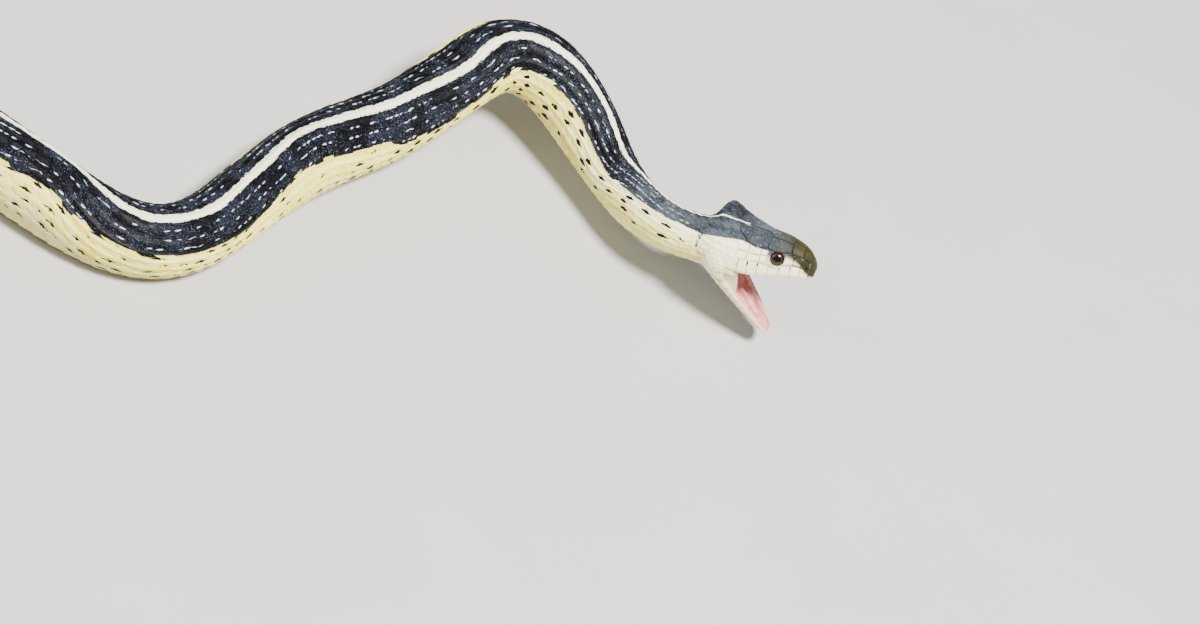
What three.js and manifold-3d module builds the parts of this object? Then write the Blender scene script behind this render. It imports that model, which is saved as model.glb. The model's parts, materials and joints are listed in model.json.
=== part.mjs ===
// A garter snake, life size, still, with its mouth held open.
// The body lies on the floor in slow bends, rises in one low arch, and carries the neck and head above it.
import * as THREE from 'three';
import { mergeVertices } from 'three/addons/utils/BufferGeometryUtils.js';
import Module from 'manifold-3d';

// Driving dimensions, in millimetres and degrees.
// A place along the animal is its distance from the tip of the snout.
const TOTAL_LENGTH = 690;
const HEAD_LENGTH = 27;
const VENT_AT = 530;
const GAP = 0.3;

// The head's place: the point under its back edge, and how it is turned.
const HEAD_PLACE = [15.1, 29, 14.4];
const HEAD_TURN = { yaw: 2.9, pitch: 15.3, roll: 7 };
const GAPE = 48;

// The middle of the lying animal's floor space, moved to the origin.
const FLOOR_MIDDLE = [-135.935, -4.052];

// The line under the belly, from the neck to past the tail: x, y and the height over the floor.
const BELLY_ROUTE = [
  [-7, 35.5, 6.5], [-20, 45, 6.5], [-32, 52, 8.5], [-43.5, 55.5, 11], [-53.5, 51.5, 11.5],
  [-58, 40.5, 8.5], [-62.5, 28.5, 4], [-67.5, 16.5, 1], [-74.5, 4, 0], [-80.5, -10.5, 0],
  [-85, -30.5, 0], [-89.5, -52, 0], [-103, -63, 0], [-124, -62, 0], [-146, -59.5, 0],
  [-168, -58.5, 0], [-187, -50, 0], [-197, -31, 0], [-199, -8, 0], [-200, 15, 0],
  [-208, 35, 0], [-227, 45.5, 0], [-247, 37, 0], [-257, 18, 0], [-258, -5, 0],
  [-257.5, -28, 0], [-264, -49, 0], [-282, -59.5, 0], [-301, -50, 0], [-308, -29, 0],
  [-307, -7, 0], [-303, 15, 0], [-295, 35, 0], [-281, 51, 0], [-264, 64, 0], [-247, 77, 0],
];
const NECK_LEAD = 12;

// Half the body's width at places along it.
const GIRTH = [
  [27, 5.9], [34, 5.6], [48, 6.1], [62, 6.7], [76, 8.1], [94, 8.9], [126, 8.5], [158, 9.1],
  [206, 8.2], [250, 9.2], [300, 9.5], [380, 9.5], [460, 8.7], [525, 7], [545, 6], [600, 4.1],
  [650, 2.3], [680, 1.2], [690, 0.7],
];
const LOAF_WIDTH = 1.03;
const BELLY_DROP = 0.88;

// The broad plates under the body, each with a raised back edge over the next one.
const SCUTE_RISE = 0.3;
const SCUTE_PITCH = 6.7;
const TAIL_SCUTE_PITCH = 5.4;
const SCUTE_SLOPE = 0.35;
const SCUTE_EDGE = 0.25;
const TAIL_SEAM = 0.25;

// Where the body is divided into lengths.
const LENGTHS = [
  ['neck', 27, 64], ['body_1', 64, 98], ['body_2', 98, 150], ['body_3', 150, 222],
  ['body_4', 222, 272], ['body_5', 272, 322], ['body_6', 322, 366], ['body_7', 366, 412],
  ['body_8', 412, 458], ['body_9', 458, VENT_AT], ['tail_1', VENT_AT, 556],
  ['tail_2', 556, 620], ['tail_3', 620, TOTAL_LENGTH],
];

// Colours of the skin and the eyes.
const SKIN = { color: 0x2a2c33, roughness: 0.55, metalness: 0 };
const JAW_SKIN = { color: 0xd8cf94, roughness: 0.5, metalness: 0 };
const EYE = { color: 0x2a1410, roughness: 0.1, metalness: 0 };

const wasm = await Module();
wasm.setup();

const radians = THREE.MathUtils.degToRad;
const vec = (x, y, z) => new THREE.Vector3(x, y, z);

// Reads a smooth value out of a short list of [place, value] pairs.
function smoothValue(pairs, at) {
  const last = pairs.length - 1;
  let i = 0;
  while (i < last - 1 && at > pairs[i + 1][0]) i += 1;
  const [a, va] = pairs[i];
  const [b, vb] = pairs[i + 1];
  const before = pairs[Math.max(i - 1, 0)];
  const after = pairs[Math.min(i + 2, last)];
  const span = b - a;
  const slopeA = (vb - before[1]) / Math.max(b - before[0], 1e-6);
  const slopeB = (after[1] - va) / Math.max(after[0] - a, 1e-6);
  const t = THREE.MathUtils.clamp((at - a) / span, 0, 1);
  const t2 = t * t;
  const t3 = t2 * t;
  return (2 * t3 - 3 * t2 + 1) * va + (t3 - 2 * t2 + t) * span * slopeA
    + (3 * t2 - 2 * t3) * vb + (t3 - t2) * span * slopeB;
}

// A smooth line that is steered by its points, as a uniform cubic B-spline.
class SteeredLine extends THREE.Curve {
  constructor(points) {
    super();
    this.points = points;
    this.arcLengthDivisions = 1500;
  }

  getPoint(t, target = vec(0, 0, 0)) {
    const spans = this.points.length - 3;
    const at = Math.min(t * spans, spans - 1e-9);
    const first = Math.floor(at);
    const w = at - first;
    const weights = [
      (1 - w) ** 3, 3 * w ** 3 - 6 * w ** 2 + 4, -3 * w ** 3 + 3 * w ** 2 + 3 * w + 1, w ** 3,
    ];
    target.set(0, 0, 0);
    weights.forEach((weight, i) => target.addScaledVector(this.points[first + i], weight / 6));
    return target;
  }
}

// Closes a stack of rings into a geometry with flat ends.
function loft(rings) {
  const sides = rings[0].length;
  const positions = [];
  rings.flat().forEach((p) => positions.push(p.x, p.y, p.z));
  const index = [];
  for (let r = 0; r < rings.length - 1; r += 1) {
    for (let k = 0; k < sides; k += 1) {
      const a = r * sides + k;
      const b = r * sides + ((k + 1) % sides);
      index.push(a, b, b + sides, a, b + sides, a + sides);
    }
  }
  [0, rings.length - 1].forEach((r) => {
    const middle = vec(0, 0, 0);
    rings[r].forEach((p) => middle.addScaledVector(p, 1 / sides));
    const hub = positions.length / 3;
    positions.push(middle.x, middle.y, middle.z);
    for (let k = 0; k < sides; k += 1) {
      const a = r * sides + k;
      const b = r * sides + ((k + 1) % sides);
      index.push(...(r === 0 ? [hub, b, a] : [hub, a, b]));
    }
  });
  const geometry = new THREE.BufferGeometry();
  geometry.setAttribute('position', new THREE.Float32BufferAttribute(positions, 3));
  geometry.setIndex(index);
  return facingOut(geometry);
}

// Turns the triangles over where the shape came out inside out.
function facingOut(geometry) {
  const p = geometry.getAttribute('position');
  const index = geometry.getIndex().array;
  const [a, b, c] = [vec(0, 0, 0), vec(0, 0, 0), vec(0, 0, 0)];
  let volume = 0;
  for (let i = 0; i < index.length; i += 3) {
    a.fromBufferAttribute(p, index[i]);
    b.fromBufferAttribute(p, index[i + 1]);
    c.fromBufferAttribute(p, index[i + 2]);
    volume += a.dot(b.cross(c));
  }
  if (volume < 0) {
    for (let i = 0; i < index.length; i += 3) {
      const swap = index[i + 1];
      index[i + 1] = index[i + 2];
      index[i + 2] = swap;
    }
  }
  return geometry;
}

// A geometry as a solid that can be cut and joined, and back again.
function toSolid(geometry) {
  const bare = geometry.clone();
  bare.deleteAttribute('normal');
  bare.deleteAttribute('uv');
  const merged = mergeVertices(bare, 1e-4);
  return new wasm.Manifold(new wasm.Mesh({
    numProp: 3,
    vertProperties: new Float32Array(merged.getAttribute('position').array),
    triVerts: new Uint32Array(merged.getIndex().array),
  }));
}

// Edges shorter than this are closed up after a join or a cut.
const SHORTEST_EDGE = 0.03;

// Gives each corner the first corner that it lies close to, over edges that are too short.
function closeShortEdges(corners, triangles) {
  const stands = corners.map((_, i) => i);
  const find = (i) => (stands[i] === i ? i : find(stands[i]));
  triangles.forEach((triangle) => {
    triangle.forEach((from, k) => {
      const a = find(from);
      const b = find(triangle[(k + 1) % 3]);
      if (a !== b && corners[a].distanceTo(corners[b]) < SHORTEST_EDGE) {
        stands[Math.max(a, b)] = Math.min(a, b);
      }
    });
  });
  const kept = new Map();
  triangles.forEach((triangle) => {
    const closed = triangle.map(find);
    if (new Set(closed).size < 3) return;
    const key = [...closed].sort((a, b) => a - b).join();
    if (kept.has(key)) kept.delete(key);
    else kept.set(key, closed);
  });
  return [...kept.values()];
}

function toGeometry(solid) {
  const largest = solid.decompose().sort((a, b) => b.volume() - a.volume())[0];
  const mesh = largest.getMesh();
  const corners = [];
  for (let i = 0; i < mesh.vertProperties.length; i += 3) {
    corners.push(vec(...mesh.vertProperties.slice(i, i + 3)));
  }
  const triangles = [];
  for (let i = 0; i < mesh.triVerts.length; i += 3) {
    triangles.push([...mesh.triVerts.slice(i, i + 3)]);
  }
  const closed = closeShortEdges(corners, triangles);
  const geometry = new THREE.BufferGeometry();
  geometry.setAttribute('position', new THREE.Float32BufferAttribute(corners.flatMap((p) => [...p]), 3));
  geometry.setIndex(closed.flat());
  return geometry;
}

const union = (solids) => solids.reduce((whole, next) => whole.add(next));

function namedMesh(name, geometry, look) {
  const flat = geometry.index ? geometry.toNonIndexed() : geometry;
  flat.computeVertexNormals();
  const mesh = new THREE.Mesh(flat, new THREE.MeshStandardMaterial(look));
  mesh.name = name;
  return mesh;
}

// The head's own axes: x forward, y to its left, z up, from the point under its back edge.
const head = new THREE.Group();
head.position.set(...HEAD_PLACE);
head.rotation.set(
  radians(-HEAD_TURN.roll), radians(-HEAD_TURN.pitch), radians(HEAD_TURN.yaw), 'ZYX',
);
const headForward = vec(1, 0, 0).applyEuler(head.rotation);

// The belly line starts straight on from the head.
const headStart = vec(...HEAD_PLACE);
const bellyLine = new SteeredLine([
  headStart.clone().addScaledVector(headForward, NECK_LEAD),
  headStart,
  headStart.clone().addScaledVector(headForward, -NECK_LEAD),
  ...BELLY_ROUTE.map((p) => vec(...p)),
]);
const bellyLength = bellyLine.getLength();

// The body's axes at a place: along towards the tail, across to its right side, and up.
const ROLL_FADE = 24;
function bodyAxes(place) {
  const t = (place - HEAD_LENGTH) / bellyLength;
  const along = bellyLine.getTangentAt(t);
  const across = vec(0, 0, 1).cross(along).normalize();
  const fade = THREE.MathUtils.smoothstep(HEAD_LENGTH + ROLL_FADE - place, 0, ROLL_FADE);
  across.applyAxisAngle(along, radians(HEAD_TURN.roll * fade));
  const up = along.clone().cross(across);
  return { from: bellyLine.getPointAt(t), along, across, up };
}

// The outline of the body, by the angle from the middle of the belly: closest together underneath.
const BELLY_ANGLES = [0, 16, 30, 46, 66, 90, 117, 148];
const RING_ANGLES = [
  ...BELLY_ANGLES, 180, ...BELLY_ANGLES.slice(1).reverse().map((angle) => 360 - angle),
];
const FLAT_ANGLE = 30;
const SCUTE_ANGLE = 46;

// One ring of the body, shifted a little along it where a cut is made.
// The scutes' rise is 1 at their raised back edge and 0 in the groove between two of them.
function bodyRing(place, rise = 1, shift = 0) {
  const { from, along, across, up } = bodyAxes(place);
  const radius = smoothValue(GIRTH, place);
  const middle = BELLY_DROP * radius + SCUTE_RISE;
  const sunk = (1 - rise) * SCUTE_RISE * Math.min(1, radius / 3);
  const seam = place > VENT_AT ? TAIL_SEAM * Math.min(1, radius / 3) : 0;
  return RING_ANGLES.map((angle) => {
    const turn = radians(angle);
    const fromBelly = Math.min(angle, 360 - angle);
    const underside = fromBelly <= SCUTE_ANGLE ? sunk : 0;
    const out = LOAF_WIDTH * radius * Math.sin(turn) * (1 - underside / radius);
    let height = middle - radius * Math.cos(turn);
    if (Math.cos(turn) > 0) {
      const drop = Math.min(Math.cos(turn) / Math.cos(radians(FLAT_ANGLE)), 1);
      height = middle * (1 - drop) + underside;
    }
    if (angle === 0) height += seam;
    return from.clone().addScaledVector(across, out).addScaledVector(up, height)
      .addScaledVector(along, shift);
  });
}

// One length of the body, plate by plate: a slope up to the back edge, then a step down.
function bodyLength(name, start, end) {
  const pitch = start < VENT_AT ? SCUTE_PITCH : TAIL_SCUTE_PITCH;
  const scutes = Math.round((end - start) / pitch);
  const rings = [bodyRing(start, 0, GAP / 2)];
  for (let i = 0; i < scutes; i += 1) {
    const front = THREE.MathUtils.lerp(start, end, i / scutes);
    const back = THREE.MathUtils.lerp(start, end, (i + 1) / scutes);
    rings.push(bodyRing(THREE.MathUtils.lerp(front, back, SCUTE_SLOPE)));
    if (i < scutes - 1) {
      rings.push(bodyRing(back - SCUTE_EDGE));
      rings.push(bodyRing(back, 0));
    }
  }
  rings.push(bodyRing(end, 1, end < TOTAL_LENGTH ? -GAP / 2 : 0));
  return namedMesh(name, loft(rings), SKIN);
}

// Sizes of the head by the distance from the snout.
const LIP_HEIGHT = 5.2;
const HEAD_HALF_WIDTH = [
  [0, 1.7], [0.6, 2.7], [1.5, 3.3], [3, 3.9], [6, 4.8], [10, 5.9], [14, 6.9], [18, 7.4], [22, 7.5],
  [25, 6.9], [27, 6.08],
];
const HEAD_TOP = [
  [0, 1.9], [1, 3.8], [3, 5.8], [6, 7.1], [8.5, 7.6], [13, 7.7], [18, 7.8], [22, 7.4], [27, 6.2],
];

// The upper lips hang a little lower towards the corners of the mouth.
const LIP_SAG = [[0, 0], [4, 0.1], [11, 1], [16, 1.6], [19, 1.3], [24, 0.3], [27, 0]];

// The left jaw corner stands out behind, where the mouth is stretched wider: out and up.
const LEFT_FLARE = [
  [0, 0], [12, 0], [15, 0.7], [18, 1.6], [21, 2.9], [23.5, 4.6], [25, 4.8], [26.1, 2.6], [27, 0.3],
];
const FLARE_LIFT = 0.4;
const FLARE_ROUND = 0.75;
const THROAT_START = 16;
const THROAT_END = 25;
const THROAT_ROUND = 1.02;
const HEAD_STATIONS = [
  0, 0.5, 1.2, 2.2, 3.6, 5.4, 7.4, 9.4, 11.4, 13.6, 15.8, 18, 20, 21.8, 23.4, 24.6, 25.6, 26.4, 27,
];
const CANTHUS_DRAW_IN = 0.16;
const SIDE_SQUARENESS = 0.78;

// A point of the upper head's outside, by the distance from the snout and the angle over the top:
// 0 is the right lip, 90 the middle of the crown and 180 the left lip.
function crownPoint(distance, angle, lift = 0) {
  const width = smoothValue(HEAD_HALF_WIDTH, distance) + lift;
  const top = smoothValue(HEAD_TOP, distance) + lift;
  const turn = radians(angle);
  const rise = Math.sin(turn) ** SIDE_SQUARENESS;
  const spread = Math.sign(Math.cos(turn)) * Math.abs(Math.cos(turn)) ** SIDE_SQUARENESS;
  const left = Math.max(angle / 90 - 1, 0);
  const flare = smoothValue(LEFT_FLARE, distance);
  const out = flare * Math.sin(left * Math.PI * FLARE_ROUND);
  const up = flare * FLARE_LIFT * Math.sin(left * Math.PI);
  const y = -width * spread * (1 - CANTHUS_DRAW_IN * rise * rise) + out;
  const sag = smoothValue(LIP_SAG, distance) * (1 - rise);
  return vec(HEAD_LENGTH - distance, y, LIP_HEIGHT - sag + top * rise + up);
}

// A point under the head: the vaulted palate in front, the round throat behind.
const PALATE = [
  [-0.86, 0.1], [-0.7, 0.9], [-0.36, 1.5], [0, 1.7], [0.36, 1.5], [0.7, 0.9], [0.86, 0.1],
];
const PALATE_FULL_WIDTH = 5;
function underPoint(distance, [side, vault]) {
  const width = smoothValue(HEAD_HALF_WIDTH, distance);
  const throat = THREE.MathUtils.smoothstep(distance, THROAT_START, THROAT_END);
  const snoutEase = THREE.MathUtils.smoothstep(distance, 0, 4);
  const sag = smoothValue(LIP_SAG, distance);
  const palate = LIP_HEIGHT - sag + vault * snoutEase * Math.min(1, width / PALATE_FULL_WIDTH);
  const round = Math.max(LIP_HEIGHT * (1 - Math.sqrt(1 - side * side) * THROAT_ROUND), 0);
  const height = THREE.MathUtils.lerp(palate, round, throat);
  return vec(HEAD_LENGTH - distance, -width * side, height);
}

const CROWN_ANGLES = [0, 10, 22, 36, 52, 70, 90, 110, 128, 144, 158, 170, 180];
function upperHead() {
  return loft(HEAD_STATIONS.map((distance) => [
    ...CROWN_ANGLES.map((angle) => crownPoint(distance, angle)),
    ...PALATE.map((spot) => underPoint(distance, spot)),
  ]));
}

// The lower jaw swings down on a line across the head.
const HINGE = { distance: 25.5, height: -1.6 };
const JAW_HALF_WIDTH = [[0.8, 1.8], [2, 2.9], [5, 3.9], [10, 5.1], [15, 6.2], [20, 6.9], [25, 6.9]];
const JAW_DEPTH = [[0.8, 0.9], [2, 1.5], [5, 2.2], [10, 2.8], [15, 3.3], [20, 3.9], [25, 4.5]];
const JAW_SPLIT = 12.8;
const JAW_FRONT_STATIONS = [0.8, 1.3, 2, 3.2, 5, 7, 9, 11, JAW_SPLIT - GAP / 2];
const JAW_BACK_STATIONS = [JAW_SPLIT + GAP / 2, 14.6, 16.4, 18.4, 20.4, 22.4, 24.5];
const JAW_FLOOR = [
  [-0.88, 0], [-0.74, -0.7], [-0.4, -1.1], [0, -1.2], [0.4, -1.1], [0.74, -0.7], [0.88, 0],
];
const JAW_ANGLES = [0, 15, 32, 52, 72, 90, 108, 128, 148, 165, 180];

function swing(point) {
  const turn = radians(GAPE);
  const hingeX = HEAD_LENGTH - HINGE.distance;
  const hingeZ = LIP_HEIGHT + HINGE.height;
  const x = point.x - hingeX;
  const z = point.z - hingeZ;
  return vec(
    hingeX + x * Math.cos(turn) + z * Math.sin(turn),
    point.y,
    hingeZ - x * Math.sin(turn) + z * Math.cos(turn),
  );
}

function jawPoint(distance, angle, lift = 0) {
  const width = smoothValue(JAW_HALF_WIDTH, distance) + lift;
  const depth = smoothValue(JAW_DEPTH, distance) + lift;
  const turn = radians(angle);
  const spread = Math.sign(Math.cos(turn)) * Math.abs(Math.cos(turn)) ** SIDE_SQUARENESS;
  return swing(vec(
    HEAD_LENGTH - distance,
    width * spread,
    LIP_HEIGHT - depth * Math.sin(turn) ** SIDE_SQUARENESS,
  ));
}

function jawLoft(stations) {
  return loft(stations.map((distance) => {
    const width = smoothValue(JAW_HALF_WIDTH, distance);
    const ease = THREE.MathUtils.smoothstep(distance, 0.8, 5);
    return [
      ...JAW_ANGLES.map((angle) => jawPoint(distance, angle)),
      ...JAW_FLOOR.map(([side, sink]) => swing(
        vec(HEAD_LENGTH - distance, width * side, LIP_HEIGHT + sink * ease),
      )),
    ];
  }));
}

// The stretched skin at the corners of the mouth, and the soft back wall between the jaws.
// Each outline lies in a plane through the hinge, turned down by its angle.
const CHEEK_REACH_ABOVE = 7.9;
const CHEEK_REACH_BELOW = 12.1;
const CHEEK_INSIDE = 0.9;
const GULLET_REACH = 4.4;
const CHEEK_TURNS = [-17, -4, 2, 12, 24, 36, 46, 52];
const CHEEK_HOLLOW = 0.8;
const CHEEK_SINK = 0.35;
function cheeks() {
  const hingeX = HEAD_LENGTH - HINGE.distance;
  const hingeZ = LIP_HEIGHT + HINGE.height;
  return loft(CHEEK_TURNS.map((degrees) => {
    const share = THREE.MathUtils.clamp(degrees / GAPE, 0, 1);
    const stretch = Math.sin(Math.PI * share);
    const hollow = CHEEK_HOLLOW * stretch;
    const outside = degrees >= 0 && degrees <= GAPE;
    const buried = outside ? CHEEK_SINK * (1 + stretch) : CHEEK_INSIDE;
    const halfWidth = (reach) => THREE.MathUtils.lerp(
      smoothValue(HEAD_HALF_WIDTH, HINGE.distance - reach),
      smoothValue(JAW_HALF_WIDTH, HINGE.distance - reach),
      share,
    ) - buried;
    const edge = THREE.MathUtils.lerp(CHEEK_REACH_ABOVE, CHEEK_REACH_BELOW, share) - hollow;
    const rightSide = [[-1.2, 1], [2, 1], [5, 1], [edge, 1], [edge, 0.88], [GULLET_REACH + 1.2, 0.6]];
    const leftSide = [...rightSide].reverse().map(([reach, side]) => [reach, -side]);
    const turn = radians(degrees);
    return [...rightSide, [GULLET_REACH, 0], ...leftSide].map(([reach, side]) => vec(
      hingeX + reach * Math.cos(turn),
      side * halfWidth(reach),
      hingeZ - reach * Math.sin(turn),
    ));
  }));
}

function ellipsoid(centre, radii, around = 14, down = 8) {
  const ball = new THREE.SphereGeometry(1, around, down);
  ball.rotateX(Math.PI / 2);
  ball.scale(...radii);
  ball.translate(...centre);
  return ball;
}

// The eyes are shallow lenses under their clear scales, turned a little up and forward.
const EYE_RADII = [2, 1.35, 1.85];
const EYE_PLACE = { distance: 9.4, side: 3.95, height: 3.55 };
const EYE_TILT = { up: 22, forward: 10 };
function eyeBall(side, grow = 0) {
  const ball = ellipsoid([0, 0, 0], EYE_RADII.map((radius) => radius + grow));
  ball.rotateX(radians(side * EYE_TILT.up));
  ball.rotateZ(radians(-side * EYE_TILT.forward));
  ball.translate(
    HEAD_LENGTH - EYE_PLACE.distance, side * EYE_PLACE.side, LIP_HEIGHT + EYE_PLACE.height,
  );
  return ball;
}

// The head's plates, as raised patches of its own surface: from and to distance, from and to angle.
// The first list lies along the middle, and the second is repeated on both sides.
const PLATE_RISE = 0.22;
const PLATE_ROOT = 0.7;
const PLATE_CORNER = 0.14;
const MIDDLE_PLATES = [[0.25, 1.1, 34, 146], [6.6, 11.9, 75, 105]];
const SIDE_PLATES = [
  [1.4, 3.1, 58, 88], [3.4, 6.3, 52, 88], [6.6, 12.1, 49, 71], [12.3, 18.8, 55, 88],
  [1.3, 3.1, 25, 54], [3.4, 5.5, 26, 48], [5.8, 7.3, 24, 46],
  [12.5, 13.9, 22, 33], [12.4, 13.9, 36, 50],
  [14.2, 17.4, 21, 50], [17.7, 20.8, 18, 33], [17.7, 20.8, 36, 53],
];
const UPPER_LIP_EDGES = [1.3, 3.4, 5.7, 8.2, 10.8, 13.3, 15.7, 18];
const LOWER_LIP_EDGES = [1.3, 3.5, 5.8, 8.1, 10.4, 12.6];
const BACK_LIP_EDGES = [13.1, 15.4, 17.8];
const LIP_PLATE_GAP = 0.3;
const UPPER_LIP_ANGLES = [2, 18];
const LOWER_LIP_ANGLES = [3, 26];
const CHIN_PLATES = [[2.6, 7, 56, 86], [7.4, 12.3, 60, 86]];

function plate(surface, [near, far, low, high]) {
  const spots = [];
  for (let i = 0; i <= 2; i += 1) {
    for (let k = 0; k <= 2; k += 1) {
      const inward = (i !== 1 && k !== 1) ? PLATE_CORNER : 0;
      const u = THREE.MathUtils.lerp(i / 2, 0.5, inward);
      const v = THREE.MathUtils.lerp(k / 2, 0.5, inward);
      spots.push([THREE.MathUtils.lerp(near, far, u), THREE.MathUtils.lerp(low, high, v)]);
    }
  }
  const positions = [];
  [PLATE_RISE, -PLATE_ROOT].forEach((lift) => {
    spots.forEach(([distance, angle]) => positions.push(...surface(distance, angle, lift)));
  });
  const index = [];
  [[0, 1, 4, 3], [1, 2, 5, 4], [3, 4, 7, 6], [4, 5, 8, 7]].forEach(([a, b, c, d]) => {
    index.push(a, b, c, a, c, d, a + 9, c + 9, b + 9, a + 9, d + 9, c + 9);
  });
  const rim = [0, 3, 6, 7, 8, 5, 2, 1];
  rim.forEach((a, i) => {
    const b = rim[(i + 1) % rim.length];
    index.push(a, b, b + 9, a, b + 9, a + 9);
  });
  const geometry = new THREE.BufferGeometry();
  geometry.setAttribute('position', new THREE.Float32BufferAttribute(positions, 3));
  geometry.setIndex(index);
  return facingOut(geometry);
}

const mirrored = ([near, far, low, high]) => [near, far, 180 - high, 180 - low];

function lipPlates(edges, [low, high]) {
  return edges.slice(1).map((far, i) => [edges[i] + LIP_PLATE_GAP / 2, far - LIP_PLATE_GAP / 2, low, high]);
}

function headPlates() {
  const oneSide = [...SIDE_PLATES, ...lipPlates(UPPER_LIP_EDGES, UPPER_LIP_ANGLES)];
  const all = [...MIDDLE_PLATES, ...oneSide, ...oneSide.map(mirrored)];
  const jawCorners = lipPlates(BACK_LIP_EDGES, LOWER_LIP_ANGLES);
  return [
    ...all.map((spot) => plate(crownPoint, spot)),
    ...[...jawCorners, ...jawCorners.map(mirrored)].map((spot) => plate(jawPoint, spot)),
  ];
}

function jawPlates() {
  const oneSide = [...CHIN_PLATES, ...lipPlates(LOWER_LIP_EDGES, LOWER_LIP_ANGLES)];
  return [...oneSide, ...oneSide.map(mirrored)].map((spot) => plate(jawPoint, spot));
}

const NOSTRIL = { distance: 2.1, side: 3.3, height: 2.5, radius: 0.5 };

// The jaw's back corners push the skin out, further on the left, where the stretched mouth is wider.
const JAW_ANGLE_BULGES = [
  { distance: 23, side: -4.6, height: -0.6, radii: [4, 3.1, 4.4] },
  { distance: 22.6, side: 6.6, height: 0.4, radii: [4.2, 3.7, 4.8] },
];
const THROAT_BULGE = { distance: 24.6, height: -2.2, radii: [4.4, 5.4, 3.6] };
// The mouth of the windpipe, on the floor of the mouth.
const GLOTTIS = { distance: 8.5, height: -0.9, radii: [2.4, 0.8, 0.75] };

// What is cut away behind the head's back edge.
const BACK_CUT = [20, 40, 60];

function headNode() {
  const pieces = [upperHead(), jawLoft(JAW_BACK_STATIONS), cheeks(), ...headPlates()];
  JAW_ANGLE_BULGES.forEach(({ distance, side, height, radii }) => {
    pieces.push(ellipsoid([HEAD_LENGTH - distance, side, LIP_HEIGHT + height], radii, 18, 10));
  });
  const throat = [HEAD_LENGTH - THROAT_BULGE.distance, 0, LIP_HEIGHT + THROAT_BULGE.height];
  pieces.push(ellipsoid(throat, THROAT_BULGE.radii));
  let solid = union(pieces.map(toSolid));
  const backCut = new THREE.BoxGeometry(...BACK_CUT);
  backCut.translate(-BACK_CUT[0] / 2 + GAP / 2, 0, 0);
  solid = solid.subtract(toSolid(backCut));
  [-1, 1].forEach((side) => {
    solid = solid.subtract(toSolid(eyeBall(side, GAP)));
    const nostril = [HEAD_LENGTH - NOSTRIL.distance, side * NOSTRIL.side, LIP_HEIGHT + NOSTRIL.height];
    const size = NOSTRIL.radius;
    solid = solid.subtract(toSolid(ellipsoid(nostril, [size, size * 1.6, size], 8, 6)));
  });
  return namedMesh('head', toGeometry(solid), SKIN);
}

function jawNode() {
  const glottis = ellipsoid([0, 0, 0], GLOTTIS.radii, 10, 6);
  glottis.rotateY(radians(GAPE));
  glottis.translate(...swing(vec(HEAD_LENGTH - GLOTTIS.distance, 0, LIP_HEIGHT + GLOTTIS.height)));
  const pieces = [jawLoft(JAW_FRONT_STATIONS), glottis, ...jawPlates()];
  return namedMesh('lower_jaw', toGeometry(union(pieces.map(toSolid))), JAW_SKIN);
}

const posed = new THREE.Group();
posed.position.set(-FLOOR_MIDDLE[0], -FLOOR_MIDDLE[1], 0);
posed.add(head);
head.add(headNode());
head.add(jawNode());
head.add(namedMesh('eye_left', eyeBall(1), EYE));
head.add(namedMesh('eye_right', eyeBall(-1), EYE));
LENGTHS.forEach(([name, start, end]) => posed.add(bodyLength(name, start, end)));

const group = new THREE.Group();
group.add(posed);

export default group;
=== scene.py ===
import json
import math

import bpy
import numpy as np
from mathutils import Euler, Matrix, Vector
from mathutils.bvhtree import BVHTree

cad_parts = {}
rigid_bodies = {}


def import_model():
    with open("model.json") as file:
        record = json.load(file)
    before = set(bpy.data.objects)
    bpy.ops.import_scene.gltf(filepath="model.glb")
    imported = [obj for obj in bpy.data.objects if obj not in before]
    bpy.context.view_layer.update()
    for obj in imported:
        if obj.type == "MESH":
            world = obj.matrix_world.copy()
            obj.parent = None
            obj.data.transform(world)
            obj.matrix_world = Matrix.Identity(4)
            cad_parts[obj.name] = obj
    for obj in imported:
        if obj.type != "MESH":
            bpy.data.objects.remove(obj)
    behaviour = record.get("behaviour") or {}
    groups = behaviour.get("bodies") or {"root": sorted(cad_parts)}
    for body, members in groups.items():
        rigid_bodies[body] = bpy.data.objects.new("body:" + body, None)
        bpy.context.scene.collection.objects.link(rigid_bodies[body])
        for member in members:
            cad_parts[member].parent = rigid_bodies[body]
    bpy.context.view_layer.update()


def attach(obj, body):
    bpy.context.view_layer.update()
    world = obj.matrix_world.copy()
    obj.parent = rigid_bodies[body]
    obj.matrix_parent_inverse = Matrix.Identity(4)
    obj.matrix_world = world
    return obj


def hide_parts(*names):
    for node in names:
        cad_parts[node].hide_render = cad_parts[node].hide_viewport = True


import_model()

# %% [markdown]
# # A garter snake, life size
# The animal lies in slow bends, rises in one low arch, and holds its head up with the mouth open.
# Blender dresses a frame that already has the true sizes. The frame's solids stay where they are,
# and each piece made here stands for some of them.
#
# Every length below is written in millimetres and turned into metres where points are made,
# because a snake's parts are small and millimetres are easier to read.

# %% The frame and the unit
MM = 0.001
bpy.ops.object.select_all(action="DESELECT")

# %% [markdown]
# ## The camera
# The picture looks down on the animal from about 42 degrees above the floor, and the camera is
# tipped to one side by 31 degrees, so the snake seems to run down to the right. A long lens from
# a good metre away gives the flat perspective of a wildlife picture.

# %% The camera
CAMERA_ELEVATION = 41.9
CAMERA_ROLL = 30.7
CAMERA_DISTANCE = 1.1
CAMERA_LENS = 138.6
CAMERA_AIM = Vector((135.935, 4.052, 8.0)) * MM


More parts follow.
